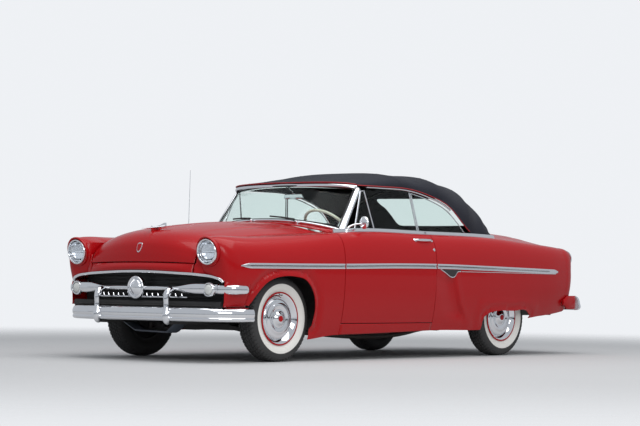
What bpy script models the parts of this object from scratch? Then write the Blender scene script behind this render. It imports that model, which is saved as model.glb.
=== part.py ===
"""Full-size 1950s two-door convertible with its soft top up.

Metres, +Z up, the car faces -Y and its left side is +X. The floor is z = 0.
Lengths along the car are written from the middle of the body's own drawing, and
the empty car_origin at the end moves them so that the bumpers lie evenly about y = 0.
"""
import math

import bmesh
import bpy
import numpy as np
from mathutils import Matrix, Vector

# Driving dimensions
WHEELBASE = 2.934
FRONT_AXLE_Y = -1.680
REAR_AXLE_Y = FRONT_AXLE_Y + WHEELBASE
FRONT_TRACK = 1.473
REAR_TRACK = 1.422
FRONT_END_Y = -2.541
REAR_END_Y = 2.496

TYRE_RADIUS = 0.336
TYRE_WIDTH = 0.172
RIM_RADIUS = 0.197
AXLE_Z = TYRE_RADIUS

WAIST_Z = 0.720
TUMBLE_UNDER = 0.065
SHOULDER_POWER = 2.6
BELT_Z = 1.040

SHEET = 0.006
PANEL_GAP = 0.006
TOUCH = 0.0003

DOOR_FRONT_Y = -1.038
DOOR_REAR_Y = 0.138
DOOR_BOTTOM_Z = 0.300
DOOR_INNER_X = 0.745
DOOR_SWING_X = 0.926
CABIN_EDGE_X = 0.765
LID_EDGE_X = 0.606
LID_FRONT_Y = 1.632
NOSE_START_Y = -2.240
TAIL_START_Y = 2.090
FLOOR_Z = 0.400
GLASS = 0.005

HEADLAMP = Vector((0.726, -2.395, 0.845))
HEADLAMP_RADIUS = 0.113
HEADLAMP_LEAN = 0.10
TAIL_LAMP = Vector((0.790, 2.205, 0.868))
TAIL_LAMP_RADIUS = 0.078
KINGPIN_X = FRONT_TRACK / 2 - 0.1165
WHEELHOUSE_X = REAR_TRACK / 2 - TYRE_WIDTH / 2 - 0.025
RAIL_X = WHEELHOUSE_X - 0.100
RAIL_HALF_X = 0.028
RAIL_HALF_Z = 0.052

# Outside of the body: y, half width, lower edge z, crest x, crest z
BODY = np.array([
    (-2.30, 0.900, 0.430, 0.726, 0.968),
    (-2.05, 0.918, 0.430, 0.728, 0.966),
    (-1.68, 0.924, 0.205, 0.735, 0.982),
    (-1.07, 0.926, 0.206, 0.775, 1.020),
    (-0.85, 0.926, 0.209, 0.785, 1.035),
    (0.15, 0.926, 0.232, 0.790, 1.040),
    (1.155, 0.926, 0.255, 0.790, 1.028),
    (1.60, 0.922, 0.335, 0.786, 1.000),
    (1.93, 0.912, 0.365, 0.780, 0.980),
    (2.20, 0.890, 0.400, 0.775, 0.958),
])

# Hood ribs: edge x, edge y, edge z, centre y, centre z
HOOD = np.array([
    (0.640, -1.080, 1.028, -1.170, 1.108),
    (0.632, -1.350, 1.010, -1.420, 1.104),
    (0.622, -1.650, 0.990, -1.700, 1.088),
    (0.610, -1.950, 0.966, -1.980, 1.062),
    (0.598, -2.150, 0.946, -2.200, 1.028),
    (0.585, -2.270, 0.905, -2.330, 0.990),
    (0.578, -2.350, 0.850, -2.405, 0.925),
    (0.574, -2.385, 0.800, -2.432, 0.850),
    (0.572, -2.400, 0.757, -2.442, 0.766),
])

# Deck lid ribs: edge x, edge y, edge z, centre y, centre z
LID = np.array([
    (0.600, 1.632, 1.045, 1.632, 1.104),
    (0.600, 1.850, 1.026, 1.870, 1.092),
    (0.600, 2.030, 0.990, 2.060, 1.058),
    (0.600, 2.150, 0.935, 2.200, 0.995),
    (0.600, 2.205, 0.860, 2.285, 0.905),
    (0.600, 2.235, 0.760, 2.330, 0.790),
    (0.600, 2.255, 0.640, 2.350, 0.640),
])

# Soft top bows: base x, base y, base z, crown y, crown z
TOP = np.array([
    (0.676, -0.612, 1.424, -0.750, 1.452),
    (0.700, -0.350, 1.424, -0.350, 1.528),
    (0.708, 0.000, 1.420, 0.000, 1.562),
    (0.716, 0.289, 1.374, 0.400, 1.577),
    (0.735, 0.547, 1.285, 0.750, 1.572),
    (0.7645, 0.800, 1.080, 1.050, 1.543),
    (0.7645, 0.960, 1.0455, 1.230, 1.478),
    (0.755, 1.080, 1.0450, 1.350, 1.385),
    (0.700, 1.190, 1.0460, 1.450, 1.235),
    (0.606, 1.325, 1.048, 1.520, 1.108),
])

# Front arch and rear wheel opening outlines in the side view: y, z
FRONT_ARCH = [(-2.085, 0.080), (-2.085, 0.443), (-2.030, 0.540), (-1.965, 0.606), (-1.875, 0.648),
              (-1.767, 0.666), (-1.625, 0.664), (-1.520, 0.643), (-1.450, 0.590), (-1.405, 0.520),
              (-1.381, 0.414), (-1.394, 0.294), (-1.430, 0.080)]
REAR_ARCH = [(0.815, 0.080), (0.850, 0.345), (0.918, 0.379), (0.995, 0.392), (1.273, 0.396),
             (1.495, 0.392), (1.557, 0.353), (1.600, 0.080)]

# Half of the grille opening in the front view: x, z
GRILLE_ARCH = [(0.000, 0.712), (0.150, 0.700), (0.420, 0.681), (0.640, 0.673), (0.774, 0.662),
               (0.850, 0.636), (0.892, 0.596), (0.902, 0.510), (0.904, 0.405)]

PARTS = bpy.data.collections.new("convertible")
TOOLS = bpy.data.collections.new("cutters")

RED = ("body_red", (0.47, 0.012, 0.022), 0.22, 0.0)
CHROME = ("chrome", (0.83, 0.84, 0.86), 0.08, 1.0)
CLOTH = ("top_cloth", (0.028, 0.030, 0.042), 0.85, 0.0)
RUBBER = ("tyre_rubber", (0.020, 0.020, 0.021), 0.80, 0.0)
BLACK = ("chassis_black", (0.022, 0.022, 0.024), 0.55, 0.2)
GLAZING = ("glass", (0.72, 0.80, 0.80), 0.04, 0.0)
LENS_CLEAR = ("lamp_glass", (0.86, 0.88, 0.90), 0.10, 0.0)
LENS_RED = ("tail_glass", (0.55, 0.010, 0.012), 0.12, 0.0)
VINYL = ("seat_vinyl", (0.050, 0.048, 0.052), 0.50, 0.0)
CAST = ("cast_iron", (0.10, 0.10, 0.10), 0.60, 0.8)
IVORY = ("ivory_rim", (0.80, 0.76, 0.66), 0.30, 0.0)


def clear_scene():
    for thing in list(bpy.data.objects):
        bpy.data.objects.remove(thing, do_unlink=True)


def finish_material(finish):
    name, colour, roughness, metallic = finish
    made = bpy.data.materials.get(name)
    if made is None:
        made = bpy.data.materials.new(name)
        made.use_nodes = True
        shader = made.node_tree.nodes["Principled BSDF"]
        shader.inputs["Base Color"].default_value = (*colour, 1.0)
        shader.inputs["Roughness"].default_value = roughness
        shader.inputs["Metallic"].default_value = metallic
    return made


def put(name, bm, finish=None, smooth=True, origin=Vector()):
    """Make an object from a bmesh; without a finish it is a cutter or a piece to be joined."""
    mesh = bpy.data.meshes.new(name)
    bmesh.ops.translate(bm, verts=bm.verts, vec=-Vector(origin))
    bm.to_mesh(mesh)
    bm.free()
    made = bpy.data.objects.new(name, mesh)
    made.location = origin
    if finish is None:
        TOOLS.objects.link(made)
        made.hide_render = True
        made.display_type = "WIRE"
    else:
        PARTS.objects.link(made)
        mesh.materials.append(finish_material(finish))
        if smooth:
            mesh.shade_smooth()
            mesh.set_sharp_from_angle(angle=math.radians(35))
    return made


def through(table, at):
    """Every column of the table at this place in its first column, on a smooth curve."""
    places = table[:, 0]
    values = table[:, 1:]
    slopes = np.gradient(values, places, axis=0)
    i = int(np.clip(np.searchsorted(places, at) - 1, 0, len(places) - 2))
    step = places[i + 1] - places[i]
    t = np.clip((at - places[i]) / step, 0.0, 1.0)
    return ((2*t**3 - 3*t**2 + 1) * values[i] + (t**3 - 2*t**2 + t) * step * slopes[i]
            + (3*t**2 - 2*t**3) * values[i + 1] + (t**3 - t**2) * step * slopes[i + 1])


def rib_row(table, u):
    """A row of a rib table at u from 0, its first rib, to 1, its last."""
    count = len(table)
    numbered = np.column_stack([np.linspace(0.0, 1.0, count), table])
    return through(numbered, u)


def sheet_grid(name, shape, nu, nv, finish, thickness=SHEET, inside=(0, 0, 0.6), keep=None):
    """A panel: shape(u, v) on a grid, thickened towards the inside point by Solidify."""
    bm = bmesh.new()
    bmesh.ops.create_grid(bm, x_segments=nu, y_segments=nv, size=0.5)
    if keep is not None:
        middles = [(face, face.calc_center_median()) for face in bm.faces]
        gone = [face for face, mid in middles if not keep(mid.x + 0.5, mid.y + 0.5)]
        bmesh.ops.delete(bm, geom=gone, context="FACES")
    for vert in bm.verts:
        vert.co = Vector(shape(vert.co.x + 0.5, vert.co.y + 0.5))
    bmesh.ops.remove_doubles(bm, verts=bm.verts, dist=0.0001)
    face_outwards(bm, Vector(inside))
    made = put(name, bm, finish)
    shell = made.modifiers.new("thickness", "SOLIDIFY")
    shell.thickness = thickness
    shell.offset = -1.0
    return made


def face_outwards(bm, inside):
    bm.normal_update()
    lean = sum(face.normal.dot(face.calc_center_median() - inside) * face.calc_area() for face in bm.faces)
    if lean < 0:
        bmesh.ops.reverse_faces(bm, faces=bm.faces)


def loft(name, loops, finish, smooth=True, origin=Vector()):
    """A solid through closed loops that have as many points each."""
    bm = bmesh.new()
    rings = [[bm.verts.new(point) for point in loop] for loop in loops]
    for ring, after in zip(rings, rings[1:]):
        for i in range(len(ring)):
            j = (i + 1) % len(ring)
            bm.faces.new((ring[i], ring[j], after[j], after[i]))
    bm.faces.new(rings[0])
    bm.faces.new(rings[-1])
    bmesh.ops.recalc_face_normals(bm, faces=bm.faces)
    return put(name, bm, finish, smooth, origin)


def block(name, x, y, z, finish=None, bevel=0.0):
    """A box between pairs of x, y and z."""
    bm = bmesh.new()
    bmesh.ops.create_cube(bm, size=1.0)
    for vert in bm.verts:
        vert.co = Vector((x[0] + (vert.co.x + 0.5) * (x[1] - x[0]),
                          y[0] + (vert.co.y + 0.5) * (y[1] - y[0]),
                          z[0] + (vert.co.z + 0.5) * (z[1] - z[0])))
    if bevel:
        bmesh.ops.bevel(bm, geom=bm.edges, offset=bevel, segments=2, affect="EDGES")
    bmesh.ops.recalc_face_normals(bm, faces=bm.faces)
    return put(name, bm, finish, smooth=False)


def outline_solid(name, points, axis, lo, hi, finish=None):
    """A flat outline drawn in the plane across the axis and extruded from lo to hi."""
    def place(a, b, along):
        return {"X": (along, a, b), "Y": (a, along, b), "Z": (a, b, along)}[axis]
    loops = [[place(a, b, along) for a, b in points] for along in (lo, hi)]
    return loft(name, loops, finish, smooth=False)


def turned(name, profile, segments, finish, centre, axis, origin=None):
    """A solid of revolution. The profile is (distance along the axis, radius), from end to end."""
    centre = Vector(centre)
    axis = Vector(axis).normalized()
    across = axis.orthogonal().normalized()
    bm = bmesh.new()
    line = [bm.verts.new(centre + axis * along + across * max(radius, 0.0)) for along, radius in profile]
    edges = [bm.edges.new(pair) for pair in zip(line, line[1:])]
    if profile[0][1] > 0 and profile[-1][1] > 0:
        edges.append(bm.edges.new((line[-1], line[0])))
    bmesh.ops.spin(bm, geom=line + edges, cent=centre, axis=axis, angle=2 * math.pi,
                   steps=segments, use_merge=True)
    bmesh.ops.remove_doubles(bm, verts=bm.verts, dist=0.00005)
    bmesh.ops.recalc_face_normals(bm, faces=bm.faces)
    return put(name, bm, finish, True, Vector(origin) if origin is not None else centre)


def tube(name, points, radius, finish=None, sides=6, closed=False):
    """A round bar along the points, as a mesh so that it can be joined to others."""
    data = bpy.data.curves.new(name, "CURVE")
    data.dimensions = "3D"
    data.bevel_depth = radius
    data.bevel_resolution = (sides - 4) // 2
    data.use_fill_caps = not closed
    spline = data.splines.new("POLY")
    spline.points.add(len(points) - 1)
    for place, point in zip(spline.points, points):
        place.co = (*point, 1.0)
    spline.use_cyclic_u = closed
    guide = bpy.data.objects.new(name + "_line", data)
    bpy.context.scene.collection.objects.link(guide)
    bpy.context.view_layer.update()
    drawn = guide.evaluated_get(bpy.context.evaluated_depsgraph_get())
    mesh = bpy.data.meshes.new_from_object(drawn)
    bm = bmesh.new()
    bm.from_mesh(mesh)
    bpy.data.objects.remove(guide, do_unlink=True)
    bmesh.ops.remove_doubles(bm, verts=bm.verts, dist=0.00001)
    bmesh.ops.recalc_face_normals(bm, faces=bm.faces)
    return put(name, bm, finish)


def join(made, others):
    for other in others:
        step = made.modifiers.new("join_" + other.name, "BOOLEAN")
        step.operation = "UNION"
        step.solver = "EXACT"
        step.object = other
    return made


def cut(made, others):
    for other in others:
        step = made.modifiers.new("cut_" + other.name, "BOOLEAN")
        step.operation = "DIFFERENCE"
        step.solver = "EXACT"
        step.object = other
    return made


def side_point(y, t):
    """Outside of the body: t 0 at the lower edge, 0.5 at the waist, 1 on the crest."""
    half_width, lower_z, crest_x, crest_z = through(BODY, y)
    if t < 0.5:
        under = 1 - t / 0.5
        return half_width - TUMBLE_UNDER * under**2.2, y, WAIST_Z + (lower_z - WAIST_Z) * under
    turn = (t - 0.5) * math.pi
    over = max(math.cos(turn), 0.0)**(2 / SHOULDER_POWER)
    up = math.sin(turn)**(2 / SHOULDER_POWER)
    return crest_x + (half_width - crest_x) * over, y, WAIST_Z + (crest_z - WAIST_Z) * up


def side_x(y, z):
    """Half width of the body at a height below the waist."""
    half_width, lower_z, _, _ = through(BODY, y)
    under = max((WAIST_Z - z) / (WAIST_Z - lower_z), 0.0)
    return half_width - TUMBLE_UNDER * under**2.2


def edge_line(table, y):
    """Edge x and z of the hood or the lid at this y."""
    order = table[np.argsort(table[:, 1])]
    edge = through(np.column_stack([order[:, 1], order[:, 0], order[:, 2]]), y)
    return edge[0], edge[1]


def ring_point(centre, radius, degrees):
    turn = math.radians(degrees)
    return Vector((centre.x + radius * math.cos(turn), centre.y, centre.z + radius * math.sin(turn)))


OUTER_SHARE = 11 / 18  # part of the section's loop that is outside skin
CREST_SHARE = 0.50     # and the part of it up to the crest


def end_loop(y, v, inner):
    """Closed section of a fender end: side, crest, inner edge, then back round the inside."""
    if v <= CREST_SHARE:
        return Vector(side_point(y, v / CREST_SHARE))
    crest = Vector(side_point(y, 1.0))
    edge = Vector((inner[0][0], y, inner[0][1]))
    if v <= OUTER_SHARE:
        return crest.lerp(edge, (v - CREST_SHARE) / (OUTER_SHARE - CREST_SHARE))
    stops = [edge] + [Vector((x, y, z)) for x, z in inner[1:]] + [Vector(side_point(y, 0.0))]
    along = (v - OUTER_SHARE) / (1 - OUTER_SHARE) * (len(stops) - 1)
    i = min(int(along), len(stops) - 2)
    return stops[i].lerp(stops[i + 1], along - i)


def ring_angle(v, first, crest, edge):
    """Where a section's point meets the lamp's mouth, in degrees."""
    return float(np.interp(v, [0.0, CREST_SHARE, OUTER_SHARE, 1.0], [first, crest, edge, first + 360]))


def fender_point(u, v):
    """Front fender: u 0 at the door, then along the car to the headlamp's mouth at 1."""
    turn_in = 0.60
    rear = DOOR_FRONT_Y - PANEL_GAP
    if u <= turn_in:
        y = rear + (NOSE_START_Y - rear) * u / turn_in
        inner_x, inner_z = edge_line(HOOD, max(y, -2.24))
        return end_loop(y, v, FENDER_INNER(inner_x, inner_z))
    k = (u - turn_in) / (1 - turn_in) * math.pi / 2
    inner_x, inner_z = edge_line(HOOD, NOSE_START_Y)
    start = end_loop(NOSE_START_Y, v, FENDER_INNER(inner_x, inner_z))
    ring = ring_point(HEADLAMP, HEADLAMP_RADIUS - 0.009, ring_angle(v, -60, 90, 140))
    ring.y = start.y
    point = start.lerp(ring, 1 - math.cos(k))
    lean = HEADLAMP_LEAN * (point.z - HEADLAMP.z)
    point.y = NOSE_START_Y + (HEADLAMP.y - lean - NOSE_START_Y) * math.sin(k)
    return point


def FENDER_INNER(edge_x, edge_z):
    """Inner side of the fender's end: x, z from the hood's edge down and out."""
    x = edge_x + PANEL_GAP
    return [(x, edge_z), (x + 0.004, 0.80), (x + 0.002, 0.66), (0.640, 0.500), (0.760, 0.430)]


def LID_INNER(edge_z):
    return [(LID_EDGE_X, edge_z), (LID_EDGE_X, 0.80), (LID_EDGE_X, 0.60), (LID_EDGE_X, 0.45), (0.740, 0.400)]


# Cabin and deck opening in the quarter: y, edge x, edge z
QUARTER_EDGE = np.array([
    (0.10, 0.740, BELT_Z + 0.002),
    (0.79, 0.740, BELT_Z + 0.002),
    (0.84, CABIN_EDGE_X, BELT_Z + 0.002),
    (1.10, CABIN_EDGE_X, BELT_Z + 0.001),
    (1.22, 0.700, 1.042),
    (1.34, LID_EDGE_X, 1.046),
    (1.632, LID_EDGE_X, 1.045),
    (1.85, LID_EDGE_X, 1.026),
    (2.03, LID_EDGE_X, 0.990),
    (2.12, LID_EDGE_X, 0.952),
])


def quarter_point(u, v):
    """Rear quarter: u 0 at the door, then along the car to the tail lamp's mouth at 1."""
    turn_in = 0.70
    front = DOOR_REAR_Y + PANEL_GAP
    if u <= turn_in:
        y = front + (TAIL_START_Y - front) * u / turn_in
        edge_x, edge_z = np.array([np.interp(y, QUARTER_EDGE[:, 0], QUARTER_EDGE[:, k]) for k in (1, 2)])
        return end_loop(y, v, [(edge_x, edge_z)] + LID_INNER(edge_z)[1:])
    k = (u - turn_in) / (1 - turn_in) * math.pi / 2
    edge_z = float(np.interp(TAIL_START_Y, QUARTER_EDGE[:, 0], QUARTER_EDGE[:, 2]))
    start = end_loop(TAIL_START_Y, v, LID_INNER(edge_z))
    ring = ring_point(TAIL_LAMP, TAIL_LAMP_RADIUS - 0.007, ring_angle(v, -60, 90, 140))
    ring.y = start.y
    point = start.lerp(ring, 1 - math.cos(k))
    low = min(max((0.76 - point.z) / 0.33, 0.0), 1.0)
    reach = TAIL_LAMP.y + 0.07 * low - TAIL_START_Y
    point.y = TAIL_START_Y + reach * math.sin(k)
    return point


def mirrored(shape, side):
    def other(u, v):
        x, y, z = shape(u, v)
        return side * x, y, z
    return other


def crowned(table, gap=0.0, power=2.4):
    """A panel over ribs: flat-sided crown between two edges, v from -1 to 1 across."""
    def shape(u, v):
        edge_x, edge_y, edge_z, centre_y, centre_z = rib_row(table, u)
        across = 2 * v - 1
        bulge = 1 - abs(across)**power
        return ((edge_x - gap) * across, edge_y + (centre_y - edge_y) * (1 - across**2),
                edge_z + (centre_z - edge_z) * bulge)
    return shape


def top_point(u, v):
    """Soft top: a bow's height is a squared arch between its two ends."""
    base_x, base_y, base_z, crown_y, crown_z = rib_row(TOP, u)
    turn = math.pi * v
    over = abs(math.cos(turn))**(2 / 3.0)
    up = max(math.sin(turn), 0.0)**(2 / 2.6)
    side = math.copysign(over, math.cos(turn))
    return base_x * side, base_y + (crown_y - base_y) * up**1.3, base_z + (crown_z - base_z) * up


def tail_y(x):
    """Rear face of the body below the deck lid."""
    share = abs(x) / 0.600
    return LID[-1, 3] + (LID[-1, 1] - LID[-1, 3]) * share**2


def grille_y(x):
    """Front of the grille in plan."""
    return -2.470 + 0.110 * (abs(x) / 0.90)**2.4


COWL_HALF = 0.735
COWL_COLUMNS = list(np.linspace(-0.640, 0.640, 11))
COWL_BEHIND = 0.060
FRAME_RADIUS = 0.012


def cowl_front(x):
    """Front edge of the cowl: behind the hood, and level with the doors outside it."""
    if abs(x) > HOOD[0, 0] + 0.0001:
        return DOOR_FRONT_Y - PANEL_GAP + TOUCH
    return HOOD[0, 1] + (HOOD[0, 3] - HOOD[0, 1]) * (1 - (x / HOOD[0, 0])**2) + PANEL_GAP


def cowl_height(x, v):
    return 1.030 + (0.080 + 0.012 * v) * (1 - abs(x / COWL_HALF)**2.4)


def screen_foot_y(x):
    return -1.030 + 0.165 * (x / 0.70)**2


def screen_base(x):
    """Foot of the windshield's frame at this x: y, z."""
    y = screen_foot_y(x)
    front = cowl_front(x)
    v = (y - front) / (y + COWL_BEHIND - front)
    return y, cowl_height(x, v) + FRAME_RADIUS + 2 * TOUCH


def screen_head(x):
    """Head of the windshield at this x: y, z."""
    share = abs(x) / 0.672
    return -0.748 + 0.140 * share**2, 1.434 - 0.030 * share**2


def screen_point(x_share, up):
    """A point of the windshield, from -1 to 1 across and 0 to 1 up."""
    foot_x = 0.712 * x_share
    head_x = 0.668 * x_share
    foot = Vector((foot_x, *screen_base(foot_x)))
    head = Vector((head_x, *screen_head(head_x)))
    return foot.lerp(head, up)


def make_fenders():
    for side, word in ((1, "left"), (-1, "right")):
        fender = sheet_grid(f"fender_{word}", mirrored(fender_point, side), 15, 18, RED,
                            inside=(side * 0.72, -1.6, 0.6),
                            keep=lambda u, v: v < OUTER_SHARE or u > 0.60)
        arch = outline_solid(f"front_arch_{word}", FRONT_ARCH, "X", side * 0.50, side * 1.10)
        mouth = [(side * x, z) for x, z in GRILLE_ARCH] + [(0.0, 0.405)]
        opening = outline_solid(f"grille_cut_{word}", mouth, "Y", -2.60, -2.15)
        cut(fender, [arch, opening])


def make_quarters():
    for side, word in ((1, "left"), (-1, "right")):
        quarter = sheet_grid(f"quarter_{word}", mirrored(quarter_point, side), 20, 18, RED,
                             inside=(side * 0.72, 1.2, 0.6),
                             keep=lambda u, v: v < OUTER_SHARE or u > 0.70)
        arch = outline_solid(f"rear_arch_{word}", REAR_ARCH, "X", side * 0.50, side * 1.10)
        cut(quarter, [arch])


def door_loop(y, side):
    """Section of a door: outside skin from the bottom to the belt, then the inner panel."""
    lower = side_x(y, DOOR_BOTTOM_Z)
    points = [(lower, DOOR_BOTTOM_Z)]
    for z in (0.42, 0.56):
        points.append((side_x(y, z), z))
    for t in (0.50, 0.62, 0.74, 0.84, 0.92, 1.0):
        x, _, z = side_point(y, t)
        points.append((x, z))
    points.append((CABIN_EDGE_X - 0.012, BELT_Z - 0.004))
    points.append((DOOR_INNER_X, BELT_Z - 0.020))
    points.append((DOOR_INNER_X, DOOR_BOTTOM_Z + 0.110))
    points.append((DOOR_INNER_X + 0.020, DOOR_BOTTOM_Z))
    return points


def make_doors():
    inner_step = 0.034
    for side, word in ((1, "left"), (-1, "right")):
        loops = []
        for share in np.linspace(0.0, 1.0, 7):
            y = DOOR_FRONT_Y + (DOOR_REAR_Y - DOOR_FRONT_Y) * share
            section = door_loop(y, side)
            rearmost = share > 0.99
            loops.append([(side * x, y - (inner_step if rearmost and x < 0.780 else 0.0), z)
                          for x, z in section])
        loft(f"door_{word}", loops, RED)
        rocker = []
        for y in np.linspace(DOOR_FRONT_Y - PANEL_GAP + TOUCH, DOOR_REAR_Y + PANEL_GAP - TOUCH, 4):
            lower_z = through(BODY, y)[1]
            top_z = DOOR_BOTTOM_Z - PANEL_GAP
            rocker.append([(side * side_x(y, lower_z), y, lower_z), (side * side_x(y, top_z), y, top_z),
                           (side * (DOOR_INNER_X - PANEL_GAP), y, top_z), (side * (DOOR_INNER_X - PANEL_GAP), y, FLOOR_Z + 0.006),
                           (side * (DOOR_INNER_X - 0.014), y, FLOOR_Z + 0.006), (side * (DOOR_INNER_X - 0.014), y, lower_z)])
        loft(f"rocker_{word}", rocker, None)


def pane(name, outline, side, finish=GLAZING):
    """A flat side window that leans in from the belt to the top rail."""
    foot_x, foot_z, head_x, head_z = 0.7535, 1.045, 0.700, 1.400
    loops = []
    for offset in (0.0, -GLASS):
        loops.append([(side * (foot_x + (head_x - foot_x) * (z - foot_z) / (head_z - foot_z) + offset), y, z)
                      for y, z in outline])
    return loft(name, loops, finish, smooth=False)


def make_side_glass():
    foot = BELT_Z - 0.004 + 2 * TOUCH
    ledge = BELT_Z + 0.002 + TOUCH
    door_pane = [(-0.735, foot), (-0.596, 1.383), (-0.180, 1.404), (0.040, 1.396), (0.098, foot)]
    quarter_pane = [(0.1065, ledge), (0.049, 1.392), (0.289, 1.345), (0.547, 1.252), (0.755, 1.070),
                    (0.765, ledge)]
    for side, word in ((1, "left"), (-1, "right")):
        pane(f"door_glass_{word}", door_pane, side)
        pane(f"quarter_glass_{word}", quarter_pane, side)


HOOD_GRID = (12, 10)
LID_GRID = (11, 10)
LID_SHEET = 0.010


def add_hinge_lugs(carrier, table, grid, reach, root_z):
    """Two lugs of the carrier that run in under the hood's or the lid's hinged edge."""
    half = 0.008
    lugs = []
    for side, word in ((1, "left"), (-1, "right")):
        edge, inner = (Vector(crowned(table)(u, 0.8)) for u in (0.0, 1 / grid[0]))
        outer = Vector(crowned(table)(0.0, 0.9))
        slope_x = (outer.z - edge.z) / (outer.x - edge.x)
        slope_y = (inner.z - edge.z) / (inner.y - edge.y)
        top = edge.z + slope_x * half + slope_y * reach
        top -= LID_SHEET * math.sqrt(1 + slope_x**2 + slope_y**2) + 3 * TOUCH
        across = sorted((side * (edge.x - half), side * (edge.x + half)))
        root = math.copysign(0.040, -reach)
        lugs.append(block(f"lug_{carrier}_{word}", across, sorted((edge.y + root, edge.y + reach)), (top - 0.010, top)))
        lugs.append(block(f"lug_root_{carrier}_{word}", across, sorted((edge.y + root, edge.y + root / 2)),
                          (top - 0.008, root_z)))
    join(bpy.data.objects[carrier], lugs)


def make_front_panels():
    lip = HOOD[-1]
    columns = [-0.566, -0.420, -0.285, -0.150, 0.0, 0.150, 0.285, 0.420, 0.566]

    def nose(u, v):
        x = float(np.interp(u * (len(columns) - 1), range(len(columns)), columns))
        share = abs(x) / 0.566
        lip_y = lip[3] + (lip[1] - lip[3]) * share**2 + 0.004
        foot_y = grille_y(x) + 0.018
        lower = float(np.interp(abs(x), [p[0] for p in GRILLE_ARCH], [p[1] for p in GRILLE_ARCH])) + TOUCH
        upper = lip[4] + (lip[2] - lip[4]) * share**2 - PANEL_GAP
        return x, foot_y + (lip_y - foot_y) * v, lower + (upper - lower) * v
    sheet_grid("nose_panel", nose, len(columns) - 1, 2, RED, thickness=SHEET, inside=(0, -1.5, 0.7))

    sheet_grid("hood", crowned(HOOD), *HOOD_GRID, RED, thickness=LID_SHEET, inside=(0, -1.7, 0.4))

    columns = [-COWL_HALF, -0.6415, *COWL_COLUMNS, 0.6415, COWL_HALF]

    def cowl(u, v):
        x = float(np.interp(u * (len(columns) - 1), range(len(columns)), columns))
        front, rear = cowl_front(x), screen_foot_y(x) + COWL_BEHIND
        return x, front + (rear - front) * v, cowl_height(x, v)
    sheet_grid("cowl", cowl, len(columns) - 1, 3, RED, thickness=0.010, inside=(0, -1.0, 0.4))
    add_hinge_lugs("cowl", HOOD, HOOD_GRID, -0.009, cowl_height(0.6 * HOOD[0, 0] + 0.008, 0.0) - 0.005)


def make_rear_panels():
    sheet_grid("deck_lid", crowned(LID), *LID_GRID, RED, thickness=LID_SHEET, inside=(0, 1.7, 0.4))

    def tulip(u, v):
        x = (2 * u - 1) * 0.6055
        front = 1.5294 - 0.196 * (x / 0.600)**2
        rear = LID_FRONT_Y - PANEL_GAP
        centre = LID[0, 4] + 0.004 * (1 - v)
        height = LID[0, 2] + (centre - LID[0, 2]) * (1 - abs(x / 0.600)**2.4)
        return x, front + (rear - front) * v, height
    sheet_grid("rear_deck", tulip, 12, 2, RED, thickness=0.010, inside=(0, 1.5, 0.4))
    add_hinge_lugs("rear_deck", LID, LID_GRID, 0.016, crowned(LID)(0.0, 0.8)[2] - 0.006)

    def tail(u, v):
        x = (2 * u - 1) * 0.600
        return x, tail_y(x), 0.460 + (LID[-1, 2] - PANEL_GAP - 0.460) * v
    sheet_grid("tail_panel", tail, 10, 3, RED, thickness=0.012, inside=(0, 1.7, 0.5))


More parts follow.
